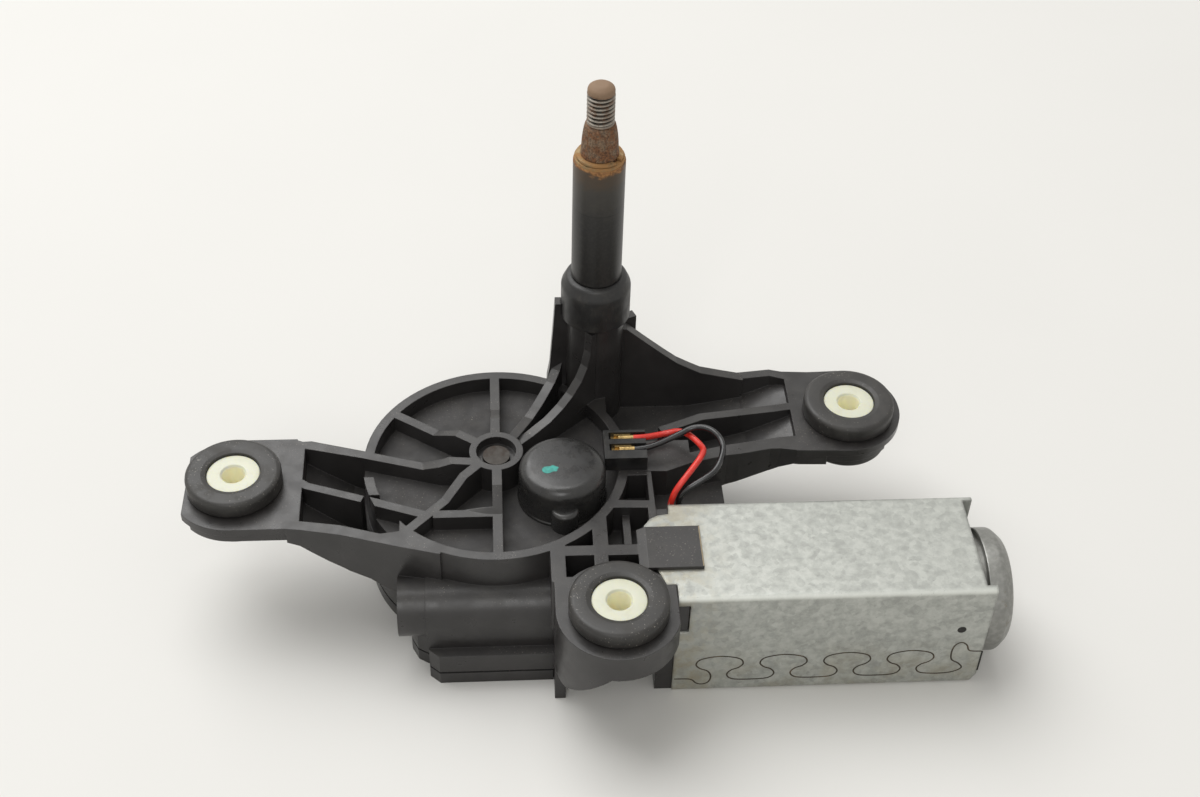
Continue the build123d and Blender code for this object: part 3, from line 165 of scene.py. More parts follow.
# ---- mesh building ---------------------------------------------------------------------------
def mesh_object(name, points, faces, sharp=40.0):
    """Smooth-shaded object from arrays of points and faces, crisp at edges over the angle in degrees."""
    mesh = bpy.data.meshes.new(name)
    mesh.from_pydata(np.asarray(points, float).tolist(), [], np.asarray(faces, int).tolist())
    merged, collapsed = 1e-7, 1e-8
    work = bmesh.new()
    work.from_mesh(mesh)
    bmesh.ops.remove_doubles(work, verts=work.verts, dist=merged)
    bmesh.ops.dissolve_degenerate(work, edges=work.edges, dist=collapsed)
    bmesh.ops.recalc_face_normals(work, faces=work.faces)
    work.to_mesh(mesh)
    work.free()
    mesh.shade_smooth()
    mesh.set_sharp_from_angle(angle=math.radians(sharp))
    piece = bpy.data.objects.new(name, mesh)
    bpy.context.scene.collection.objects.link(piece)
    return piece


def grid_faces(rows, columns, close_rows=False):
    """Quads of a grid numbered row by row, whose columns close to a ring, and its rows too if asked."""
    row, column = np.meshgrid(np.arange(rows if close_rows else rows - 1), np.arange(columns), indexing="ij")
    row, column = row.ravel(), column.ravel()
    next_row, next_column = (row + 1) % rows, (column + 1) % columns
    corners = [(row, column), (row, next_column), (next_row, next_column), (next_row, column)]
    return np.stack([a * columns + b for a, b in corners], axis=1)


def rounded(corners, steps=5):
    """Closed outline whose corners (a, b, radius) become arcs, each tangent to both of its sides.

    An arc is the sine-weighted mean of its two end points about its centre. A radius of 0 keeps the corner,
    a nearly straight corner stays as it is, and no arc takes up more than its share of a side.
    """
    nearly_straight, most_of_side = math.pi / 2 - 0.02, 0.48
    spots = np.array([corner[:2] for corner in corners], float)
    outline = []
    for k, (_, _, radius) in enumerate(corners):
        here = spots[k]
        back, ahead = spots[k - 1] - here, spots[(k + 1) % len(spots)] - here
        back_length, ahead_length = np.linalg.norm(back), np.linalg.norm(ahead)
        back, ahead = back / back_length, ahead / ahead_length
        half = math.acos(float(np.clip(back @ ahead, -1, 1))) / 2
        if radius <= 0 or half > nearly_straight:
            outline.append(here[None])
            continue
        reach = min(radius / math.tan(half), most_of_side * min(back_length, ahead_length))
        fitted = reach * math.tan(half)
        centre = here + (back + ahead) / np.linalg.norm(back + ahead) * fitted / math.sin(half)
        start, end = here + back * reach - centre, here + ahead * reach - centre
        share = np.linspace(0, 1, steps)[:, None]
        swing = np.arccos(np.clip(start @ end / fitted**2, -1, 1))
        arc = (np.sin((1 - share) * swing) * start + np.sin(share * swing) * end) / np.sin(swing)
        outline.append(centre + arc)
    return np.concatenate(outline)


def lathe(name, outline, centre, steps=120, along="Z", wobble=None, sharp=40.0):
    """Closed outline of (radius, height) turned about an axis: x = r cos a, y = r sin a, z = height.

    The height runs along the named axis through the centre. wobble(radius, height, angle) may return a new
    radius for each point of the grid.
    """
    angle = np.linspace(0, 2 * math.pi, steps, endpoint=False)
    radius, turn = np.meshgrid(outline[:, 0], angle, indexing="ij")
    height = np.repeat(outline[:, 1][:, None], steps, axis=1)
    if wobble is not None:
        radius = wobble(radius, height, turn)
    across, up = radius * np.cos(turn), radius * np.sin(turn)
    order = {"X": (height, across, up), "Y": (across, height, up), "Z": (across, up, height)}[along]
    points = np.stack(order, axis=-1).reshape(-1, 3) + np.asarray(centre, float)
    return mesh_object(name, points, grid_faces(len(outline), steps, close_rows=True), sharp)


def ribbon(name, route, out, width, rise):
    """Box-section strip: its edges lie half a width to each side of the route and a rise in and out."""
    route = np.asarray(route, float)
    heading = np.gradient(route, axis=0)
    heading /= np.linalg.norm(heading, axis=1)[:, None]
    side = np.cross(heading, out)
    side /= np.linalg.norm(side, axis=1)[:, None]
    lift = np.asarray(out, float) * rise
    left, right = route - side * width / 2, route + side * width / 2
    points = np.stack([left - lift, left + lift, right + lift, right - lift], axis=1).reshape(-1, 3)
    caps = np.array([[3, 2, 1, 0], len(points) - 4 + np.arange(4)])
    return mesh_object(name, points, np.concatenate([grid_faces(len(route), 4), caps]), 50)


def smooth_route(points, per_span=6):
    """Curve through every point: a Catmull-Rom cubic in t from b to c, whose neighbours are a and d."""
    spots = np.asarray(points, float)
    spots = np.concatenate([2 * spots[:1] - spots[1:2], spots, 2 * spots[-1:] - spots[-2:-1]])
    t = np.linspace(0, 1, per_span, endpoint=False)[None, :, None]
    a, b, c, d = (spots[k : len(spots) - 3 + k][:, None] for k in range(4))
    span = 0.5 * (2 * b + (c - a) * t + (2 * a - 5 * b + 4 * c - d) * t**2 + (3 * b - a - 3 * c + d) * t**3)
    return np.concatenate([span.reshape(-1, spots.shape[1]), spots[-2:-1]])


def settle(piece, material, body, slot_name, *replaced):
    """Give a piece its material, its body and the solids that it stands for; the slot name is not used."""
    piece.data.materials.clear()
    piece.data.materials.append(material)
    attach(piece, body)
    if replaced:
        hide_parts(*replaced)


# ---- shader building -------------------------------------------------------------------------
class Finish:
    """One procedural finish: a Principled shader on Object coordinates, with short calls for its nodes."""

    def __init__(self, name, roughness, metallic=0.0, specular=0.5):
        self.material = bpy.data.materials.new(name)
        self.material.use_nodes = True
        self.tree = self.material.node_tree
        self.shader = self.tree.nodes["Principled BSDF"]
        self.shader.inputs["Roughness"].default_value = roughness
        self.shader.inputs["Metallic"].default_value = metallic
        self.shader.inputs["Specular IOR Level"].default_value = specular
        self.place = self.tree.nodes.new("ShaderNodeTexCoord").outputs["Object"]

    def node(self, kind, **inputs):
        """New node with its inputs fed by name, an underscore standing for a space."""
        made = self.tree.nodes.new(kind)
        for key, value in inputs.items():
            self.feed(made.inputs[key.replace("_", " ")], value)
        return made

    def feed(self, socket, value):
        """Link an output to a socket, or write a plain value on it."""
        if isinstance(value, bpy.types.NodeSocket):
            self.tree.links.new(value, socket)
        else:
            socket.default_value = value

    def axes(self, vector=None):
        """The x, y and z of a vector, or of the place on the piece."""
        parts = self.node("ShaderNodeSeparateXYZ", Vector=vector or self.place).outputs
        return parts["X"], parts["Y"], parts["Z"]

    def noise(self, scale, detail=4.0, roughness=0.55, vector=None):
        """Cloudy noise from 0 to 1, with its scale in waves per metre."""
        made = self.node("ShaderNodeTexNoise", Vector=vector or self.place, Scale=scale, Detail=detail,
                         Roughness=roughness)
        return made.outputs["Fac"]

    def between(self, value, low, high, to_low=0.0, to_high=1.0):
        """Smooth step of a value from low to high, onto another range."""
        made = self.node("ShaderNodeMapRange", Value=value)
        made.interpolation_type = "SMOOTHSTEP"
        for key, number in zip(("From Min", "From Max", "To Min", "To Max"), (low, high, to_low, to_high)):
            made.inputs[key].default_value = number
        return made.outputs["Result"]

    def maths(self, operation, a, b=0.0):
        """One step of arithmetic."""
        made = self.tree.nodes.new("ShaderNodeMath")
        made.operation = operation
        self.feed(made.inputs[0], a)
        self.feed(made.inputs[1], b)
        return made.outputs[0]

    def plus(self, a, b):
        """Sum of two values."""
        return self.maths("ADD", a, b)

    def times(self, a, b):
        """Product of two values."""
        return self.maths("MULTIPLY", a, b)

    def mix(self, share, a, b):
        """Colour a turning into colour b as the share goes from 0 to 1."""
        made = self.tree.nodes.new("ShaderNodeMix")
        made.data_type = "RGBA"
        self.feed(made.inputs[0], share)
        for socket, value in ((made.inputs[6], a), (made.inputs[7], b)):
            self.feed(socket, value if isinstance(value, bpy.types.NodeSocket) else (*value, 1.0))
        return made.outputs[2]

    def spangle(self, scale, bend_scale, bend):
        """Crystal cells from 0 to 1, their borders bent by a share of broad noise."""
        wavy = self.node("ShaderNodeTexNoise", Vector=self.place, Scale=bend_scale, Detail=2.0)
        bent = self.node("ShaderNodeMix")
        bent.data_type = "VECTOR"
        self.feed(bent.inputs[0], bend)
        self.feed(bent.inputs[4], self.place)
        self.feed(bent.inputs[5], wavy.outputs["Color"])
        cells = self.node("ShaderNodeTexVoronoi", Vector=bent.outputs[1], Scale=scale).outputs["Color"]
        return self.node("ShaderNodeSeparateColor", Color=cells).outputs["Red"]

    def facing_up(self, low, high):
        """Share that rises as a face turns upwards."""
        normal = self.tree.nodes.new("ShaderNodeNewGeometry").outputs["Normal"]
        return self.between(self.axes(normal)[2], low, high)

    def colour(self, value):
        """Feed the base colour."""
        self.feed(self.shader.inputs["Base Color"], value)

    def roughness(self, value):
        """Feed the roughness."""
        self.feed(self.shader.inputs["Roughness"], value)

    def metallic(self, value):
        """Feed the metallic share."""
        self.feed(self.shader.inputs["Metallic"], value)

    def bump(self, height, depth, strength, edge=0.0):
        """Fine relief, with sharp edges shaded as rounds of the given radius."""
        made = self.node("ShaderNodeBump", Height=height, Strength=strength, Distance=depth)
        if edge:
            bevel = self.tree.nodes.new("ShaderNodeBevel")
            bevel.samples = 4
            bevel.inputs["Radius"].default_value = edge
            self.tree.links.new(bevel.outputs["Normal"], made.inputs["Normal"])
        self.tree.links.new(made.outputs["Normal"], self.shader.inputs["Normal"])


def shade(base, factor):
    """The same hue, darker or lighter."""
    return tuple(min(1.0, part * factor) for part in base)


def housing_finish(colours, edge, pocket_floor):
    """Black filled plastic: soft sheen, flow marks, etched pocket floors, and on upward faces grit and a dust
    colour that is partly real dust and partly painted sheen.
    """
    look = Finish("housing_plastic", 0.36)
    flow = look.between(look.noise(70, 3.0), 0.35, 0.7)
    base = look.mix(flow, shade(colours.housing, 0.82), shade(colours.housing, 1.2))
    speck = look.between(look.noise(2100, 2.0, 0.6), 0.655, 0.70)
    spread = look.between(look.noise(70, 4.0, 0.6), 0.42, 0.62)
    patch = look.between(look.noise(150, 5.0, 0.65), 0.42, 0.70)
    # Partly painted sheen: upward faces are lightened with the dust colour, standing for real dust and for
    # the light that tops catch.
    up = look.facing_up(0.45, 0.9)
    dust = look.times(up, look.times(patch, 0.16))
    grit = look.times(look.times(up, spread), look.times(speck, 0.75))
    look.colour(look.mix(grit, look.mix(dust, base, colours.dust), (0.22, 0.20, 0.17)))
    near_floor = look.between(look.axes()[2], pocket_floor + 1.5 * MM, pocket_floor)
    etched = look.times(look.facing_up(0.93, 0.99), near_floor)
    gloss = look.between(look.noise(190, 4.0), 0.3, 0.7, 0.27, 0.42)
    look.roughness(look.plus(gloss, look.times(etched, 0.3)))
    look.bump(look.noise(2200, 3.0), 0.035 * MM, 0.5, edge)
    return look.material


def plain_plastic(name, base, roughness, edge=0.2 * MM, dust=(0.10, 0.09, 0.075), amount=0.2):
    """Smooth moulded plastic with a little dust and uneven gloss."""
    look = Finish(name, roughness)
    patch = look.between(look.noise(260, 5.0, 0.65), 0.45, 0.75)
    look.colour(look.mix(look.times(patch, amount), base, dust))
    look.roughness(look.between(look.noise(300, 4.0), 0.3, 0.7, roughness - 0.06, roughness + 0.1))
    look.bump(look.noise(2400, 2.0), 0.03 * MM, 0.5, edge)
    return look.material


def rubber_finish(colours):
    """Moulded rubber: matt, with a bloom of dust, and pale specks that gather in patches."""
    look = Finish("grommet_rubber", 0.55, specular=0.45)
    bloom = look.between(look.noise(190, 6.0, 0.7), 0.42, 0.72)
    speck = look.between(look.noise(1900, 2.0, 0.6), 0.655, 0.70)
    spread = look.between(look.noise(80, 4.0, 0.6), 0.46, 0.62)
    base = look.mix(look.times(bloom, 0.32), colours.rubber, (0.075, 0.070, 0.062))
    grit = look.times(speck, look.times(spread, 0.8))
    look.colour(look.mix(grit, base, (0.34, 0.32, 0.28)))
    look.roughness(look.between(bloom, 0.0, 1.0, 0.42, 0.62))
    look.bump(look.noise(1500, 4.0), 0.05 * MM, 0.5)
    return look.material


def nylon_finish(colours, bore_top):
    """Natural nylon, a little translucent, with painted light in the bore below the given height: lighter and
    yellower than the nylon itself.
    """
    look = Finish("sleeve_nylon", 0.38)
    look.shader.inputs["Subsurface Weight"].default_value = 0.6
    look.shader.inputs["Subsurface Radius"].default_value = (3.0 * MM, 2.6 * MM, 1.4 * MM)
    stain = look.between(look.noise(330, 5.0, 0.6), 0.48, 0.72)
    flange = look.mix(look.times(stain, 0.18), colours.nylon, (0.50, 0.44, 0.28))
    # Painted light: the bore is painted lighter and yellower than the nylon itself.
    painted_bore_light = look.between(look.axes()[2], bore_top, bore_top - 0.5 * MM)
    look.colour(look.mix(painted_bore_light, flange, (1.0, 0.96, 0.72)))
    look.bump(look.noise(1800, 3.0), 0.02 * MM, 0.4)
    return look.material


def zinc_finish(colours, edge, front, top, housing_end):
    """Zinc plate: soft spangle about two millimetres wide, fine pits, brown stain low and by the housing.

    The long fold between the front and the top, given as y and z, carries a painted highlight.
    """
    look = Finish("zinc_plate", 0.42, metallic=0.6)
    spangle = look.spangle(560, 300, 0.0022)
    cloud = look.noise(420, 4.0, 0.6)
    broad = look.noise(60, 4.0, 0.6)
    tone = look.plus(look.times(spangle, 0.20), look.times(cloud, 0.80))
    tone = look.plus(tone, look.times(broad, 0.35))
    plate = look.mix(look.between(tone, 0.38, 0.95), shade(colours.zinc, 0.78), shade(colours.zinc, 1.20))
    x, y, z = look.axes()
    low = look.between(z, 24 * MM, 4 * MM)
    low = look.times(low, look.between(look.noise(110, 5.0, 0.7), 0.38, 0.66))
    near_end = look.between(x, housing_end + 26.5 * MM, housing_end + 8.5 * MM)
    near_end = look.times(near_end, look.between(look.noise(210, 5.0, 0.7), 0.42, 0.60))
    stain = look.plus(look.times(low, 0.42), look.times(near_end, 0.5))
    plate = look.mix(stain, plate, colours.stain)
    # Painted highlight: the fold between the front and the top is painted brighter, standing for the light it
    # catches.
    painted_fold_highlight = look.times(look.between(y, front + 1.6 * MM, front + 0.2 * MM),
                        look.between(z, top - 1.9 * MM, top - 0.7 * MM))
    plate = look.mix(look.times(painted_fold_highlight, 0.75), plate, shade(colours.zinc, 1.75))
    pits = look.between(look.noise(1500, 3.0, 0.7), 0.66, 0.74)
    look.colour(look.mix(look.times(pits, 0.55), plate, shade(colours.zinc, 0.25)))
    look.roughness(look.between(tone, 0.4, 1.0, 0.50, 0.33))
    look.bump(look.plus(cloud, look.times(spangle, 0.3)), 0.10 * MM, 0.5, edge)
    return look.material


def steel_finish(name, base, roughness=0.34, rust=0.0, rust_colour=None):
    """Bare steel, mottled and finely rough and, where asked, with patches of rust from a share of 0 to 1."""
    look = Finish(name, roughness, metallic=0.9)
    mottle = look.between(look.noise(600, 4.0), 0.35, 0.7)
    tone = look.mix(mottle, shade(base, 0.86), shade(base, 1.1))
    if rust:
        patch = look.between(look.noise(260, 6.0, 0.7), 0.62 - 0.3 * rust, 0.72 - 0.2 * rust)
        tone = look.mix(patch, tone, rust_colour)
        look.metallic(look.between(patch, 0, 1, 0.9, 0.05))
        look.roughness(look.between(patch, 0, 1, roughness, 0.82))
    look.colour(tone)
    look.bump(look.noise(1500, 5.0, 0.7), 0.05 * MM, 0.6)
    return look.material


def spindle_finish(colours, axis, thread, root, crest):
    """Spindle steel: orange rust on the cone, a dull brown tip, and a thread with a painted highlight on its
    crests and painted shade in its roots.

    The axis is given as x and y, the thread as its lower and upper height and its root and crest radius.
    """
    look = Finish("spindle_steel", 0.6, metallic=0.3)
    x, y, z = look.axes()
    across = look.maths("POWER", look.maths("SUBTRACT", x, axis[0]), 2.0)
    along = look.maths("POWER", look.maths("SUBTRACT", y, axis[1]), 2.0)
    radius = look.maths("SQRT", look.plus(across, along))
    coarse = look.noise(420, 5.0, 0.7)
    fine = look.noise(1700, 5.0, 0.7)
    brown = look.mix(look.between(fine, 0.38, 0.62), shade(colours.rust, 0.40), shade(colours.rust, 1.25))
    dull = look.mix(look.between(fine, 0.35, 0.65), (0.080, 0.052, 0.032), (0.24, 0.16, 0.095))
    brown = look.mix(look.between(coarse, 0.44, 0.60), brown, dull)
    low, high = thread
    brown = look.mix(look.between(z, high, high + 0.8 * MM), brown, (0.24, 0.155, 0.095))
    # Painted highlight and shade: the thread is painted light on its crests and nearly black in its roots.
    turns = look.mix(look.between(radius, root, crest), (0.014, 0.011, 0.008), (0.30, 0.27, 0.23))
    turns = look.mix(look.times(look.between(coarse, 0.50, 0.62), 0.5), turns, shade(colours.rust, 0.8))
    in_thread = look.times(look.between(z, low - 0.3 * MM, low + 0.5 * MM),
                           look.between(z, high + 0.4 * MM, high - 0.2 * MM))
    look.colour(look.mix(in_thread, brown, turns))
    look.metallic(look.times(in_thread, 0.6))
    look.roughness(look.between(in_thread, 0, 1, 0.68, 0.35))
    look.bump(look.plus(coarse, fine), 0.12 * MM, 0.6)
    return look.material


def tube_finish(top):
    """Black coated tube that greys toward its top, with one thin scored line and a rust-brown end."""
    look = Finish("tube_steel", 0.4, specular=0.45)
    z = look.axes()[2]
    drawn_out = look.node("ShaderNodeMapping", Vector=look.place, Scale=(1.0, 1.0, 1.6)).outputs["Vector"]
    streak = look.noise(200, 4.0, 0.6, drawn_out)
    fine = look.noise(1100, 4.0)
    height = look.plus(z, look.between(streak, 0.3, 0.7, -1.6 * MM, 1.6 * MM))
    base = look.mix(look.between(fine, 0.4, 0.7), (0.0110, 0.0100, 0.0094), (0.018, 0.0165, 0.0150))
    grey, brown = (0.036, 0.032, 0.026), (0.060, 0.038, 0.020)
    base = look.mix(look.between(height, top - 19.0 * MM, top - 7.0 * MM), base, grey)
    base = look.mix(look.between(height, top - 8.5 * MM, top - 1.5 * MM), base, brown)
    line, half = top - 15.375 * MM, 0.375 * MM
    scored = look.times(look.between(z, line - half, line - 0.025 * MM),
                        look.between(z, line + half, line + 0.025 * MM))
    base = look.mix(look.times(scored, 0.7), base, (0.008, 0.007, 0.006))
    rusty = look.between(height, top - 2.2 * MM, top - 0.2 * MM)
    rust = look.mix(look.between(fine, 0.4, 0.6), (0.17, 0.075, 0.026), (0.33, 0.16, 0.055))
    look.colour(look.mix(rusty, base, rust))
    look.roughness(look.between(rusty, 0, 1, 0.38, 0.7))
    look.bump(fine, 0.04 * MM, 0.5)
    return look.material


def wire_finish(name, base, roughness):
    """Extruded insulation with a soft gloss."""
    look = Finish(name, roughness, specular=0.6)
    look.colour(look.mix(look.between(look.noise(420, 3.0), 0.35, 0.7), shade(base, 0.85), shade(base, 1.1)))
    look.bump(look.noise(900, 2.0), 0.03 * MM, 0.4)
    return look.material


def brass_finish(name, base):
    """Stamped brass or bronze, dulled in patches."""
    look = Finish(name, 0.36, metallic=0.9)
    dull = look.between(look.noise(700, 5.0, 0.65), 0.45, 0.7)
    look.colour(look.mix(dull, base, shade(base, 0.55)))
    look.roughness(look.between(dull, 0, 1, 0.3, 0.55))
    look.bump(look.noise(1600, 3.0), 0.02 * MM, 0.4)
    return look.material


def paint_finish(tint):
    """Brushed marking paint, lighter in patches."""
    look = Finish("marking_paint", 0.35)
    look.colour(look.mix(look.between(look.noise(900, 4.0), 0.35, 0.7), tint, shade(tint, 1.5)))
    return look.material


def floor_finish(tint):
    """Pale paper, a shade darker in broad patches."""
    look = Finish("floor_paper", 0.75, specular=0.2)
    look.colour(look.mix(look.between(look.noise(6, 3.0), 0.3, 0.7), tint, shade(tint, 0.985)))
    return look.material


def paint(material, *nodes):
    """Give solids their finish through their own material slots."""
    for node in nodes:
        data = NODES[node].data
        data.materials.clear()
        data.materials.append(material)


def settings():
    """The three groups of values that the steps read."""
    scene = bpy.context.scene
    return scene.wiper_sizes, scene.wiper_colours, scene.wiper_stage


# ---- operators -------------------------------------------------------------------------------
class WIPER_OT_housing(bpy.types.Operator):
    """Moulded housing, gear cover, gasket, brush plate and terminal holder."""

    bl_idname = "wiper.housing"
    bl_label = "Housing"

    pocket_floor = 36.0 * MM
    tongue_end, tongue_top = 57.4 * MM, 42.2 * MM
    tongue_span = (-44.8 * MM, -37.0 * MM, -29.7 * MM)
    flash_width, flash_rise = 0.34 * MM, 0.02 * MM

    def execute(self, context):
        sizes, colours, _ = settings()
        paint(housing_finish(colours, sizes.edge_round, self.pocket_floor), "gear_housing", "gear_cover")
        paint(plain_plastic("holder_plastic", (0.010, 0.010, 0.010), 0.4), "terminal_holder")
        paint(plain_plastic("gasket_rubber", (0.02, 0.02, 0.021), 0.7), "cover_gasket")
        paint(plain_plastic("brush_plate_plastic", (0.02, 0.02, 0.021), 0.5), "brush_plate")
        self.flash()
        return {"FINISHED"}

    def flash(self):
        """Thin pale strip along the end of the tongue on the can."""
        route = [(self.tongue_end, y, self.tongue_top) for y in self.tongue_span]
        strip = ribbon("tongue_pale_strip", route, (0, 0, 1), self.flash_width, self.flash_rise)
        settle(strip, plain_plastic("pale_strip_plastic", (0.30, 0.24, 0.15), 0.6), "housing", "housing_plastic")


class WIPER_OT_cap(bpy.types.Operator):
    """Round vent cap with its small lobe and a dab of marking paint."""

    bl_idname = "wiper.cap"
    bl_label = "Vent cap"

    spigot, spigot_depth, crown = 6.0 * MM, 2.3 * MM, 5.0 * MM
    rim_height, rim_top, draught = 0.7 * MM, 1.1 * MM, 0.45 * MM
    lobe_across, lobe_top, lobe_radius = 19.5 * MM, 42.6 * MM, 4.1 * MM
    dab_place, dab_rise = (16.4 * MM, -11.9 * MM), 0.04 * MM

    def execute(self, context):
        _, colours, _ = settings()
        low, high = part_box("vent_cap")
        floor = low.z + self.spigot_depth
        plastic = plain_plastic("cap_plastic", colours.cap, 0.27, 0, (0.07, 0.064, 0.055), 0.22)
        for piece in (self.dome(low, high, floor), self.lobe(low.y, floor)):
            settle(piece, plastic, "housing", "cap_plastic", "vent_cap")
        self.paint_dab(high.z, paint_finish(colours.paint))
        return {"FINISHED"}

    def dome(self, low, high, floor):
        """Turned cap: a spigot in the housing, a rim on the pocket floor, a drafted wall and a flat crown."""
        foot = (high.x - low.x) / 2
        outline = rounded([
            (0, low.z, 0), (self.spigot, low.z, 0), (self.spigot, floor, 0), (foot, floor, 0),
            (foot, floor + self.rim_height, 0.3 * MM), (foot - 0.35 * MM, floor + self.rim_top, 0.3 * MM),
            (foot - self.draught, high.z - 0.1 * MM, 3.6 * MM), (self.crown, high.z, 4 * MM), (0, high.z, 0),
        ], 9)
        return lathe("vent_cap_dome", outline, ((low.x + high.x) / 2, high.y - foot, 0))

    def lobe(self, near, floor):
        """Turned stub in front of the dome, from the cap's nearest point."""
        radius, top = self.lobe_radius, self.lobe_top
        outline = rounded([(0, floor, 0), (radius, floor, 0), (radius, top, 1.3 * MM), (0, top, 0)], 7)
        return lathe("vent_cap_lobe", outline, (self.lobe_across, near + radius, 0), 64)

    def paint_dab(self, top, marking):
        """Brushed dab: an oval, plus a tail as cos^12 of half the angle from it, plus a ripple of five."""
        turn = np.linspace(0, 2 * math.pi, 48, endpoint=False)
        tail = np.cos((turn - math.radians(200)) / 2) ** 12
        reach = (1.2 + 1.6 * tail + 0.15 * np.sin(5 * turn)) * MM
        rim = np.stack([reach * np.cos(turn) * 1.25, reach * np.sin(turn), np.zeros(len(turn))], axis=1)
        middle, raised = np.array([*self.dab_place, top]), np.array([0, 0, self.dab_rise])
        points = np.concatenate([rim + middle - raised, rim + middle + raised, rim * 0 + middle + raised])
        settle(mesh_object("paint_dab", points, grid_faces(3, len(turn))), marking, "housing", "cap_plastic")


class WIPER_OT_grommets(bpy.types.Operator):
    """Rubber grommets of the three lugs and the nylon sleeves in them."""

    bl_idname = "wiper.grommets"
    bl_label = "Grommets and sleeves"

    lug_top, lug_bottom = 41.05 * MM, 34.95 * MM
    hole, neck, seat, brim = 5.05 * MM, 10.4 * MM, 7.75 * MM, 9.2 * MM
    foot_inset, seat_depth = 0.9 * MM, 2.25 * MM
    sleeve_bore, sleeve_radius, flange_depth, bore_depth = 3.3 * MM, 5.0 * MM, 1.0 * MM, 0.3 * MM

    def execute(self, context):
        sizes, colours, _ = settings()
        rubber = rubber_finish(colours)
        nylon = nylon_finish(colours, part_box("sleeve_left")[1].z - self.bore_depth)
        for side in ("left", "right", "front"):
            self.grommet(side, sizes.grommet_round, rubber)
            self.sleeve(side, nylon)
        return {"FINISHED"}

    def grommet(self, side, edge, rubber):
        """Turned grommet: a foot under the lug, a neck through it and a dished head over it."""
        low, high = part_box(f"grommet_{side}")
        middle, radius = (low + high) / 2, (high.x - low.x) / 2
        foot, seat_top = radius - self.foot_inset, high.z - self.seat_depth
        outline = rounded([
            (self.hole, low.z, 0), (foot, low.z, edge), (foot, self.lug_bottom, 0.6 * MM),
            (self.neck, self.lug_bottom, 0.3 * MM), (self.neck, self.lug_top, 0.3 * MM),
            (radius, self.lug_top, 0.9 * MM), (radius, high.z, edge),
            (self.brim, high.z - 0.1 * MM, 0.5 * MM), (self.seat + 0.1 * MM, high.z - 0.5 * MM, 0.3 * MM),
            (self.seat, seat_top, 0), (self.hole, seat_top, 0),
        ])
        piece = lathe(f"grommet_{side}_body", outline, (middle.x, middle.y, 0))
        settle(piece, rubber, "housing", "grommet_rubber", f"grommet_{side}")

    def sleeve(self, side, nylon):
        """Turned sleeve: a barrel with a flange on top."""
        low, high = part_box(f"sleeve_{side}")
        middle, flange = (low + high) / 2, (high.x - low.x) / 2
        bore, barrel, under = self.sleeve_bore, self.sleeve_radius, high.z - self.flange_depth
        outline = rounded([
            (bore, low.z, 0.2 * MM), (barrel, low.z, 0.2 * MM), (barrel, under, 0),
            (flange, under, 0.2 * MM), (flange, high.z, 0.35 * MM), (bore + 0.5 * MM, high.z, 0.4 * MM),
            (bore, high.z - 0.6 * MM, 0.3 * MM),
        ])
        piece = lathe(f"sleeve_{side}_body", outline, (middle.x, middle.y, 0), 96)
        settle(piece, nylon, "housing", "sleeve_nylon", f"sleeve_{side}")


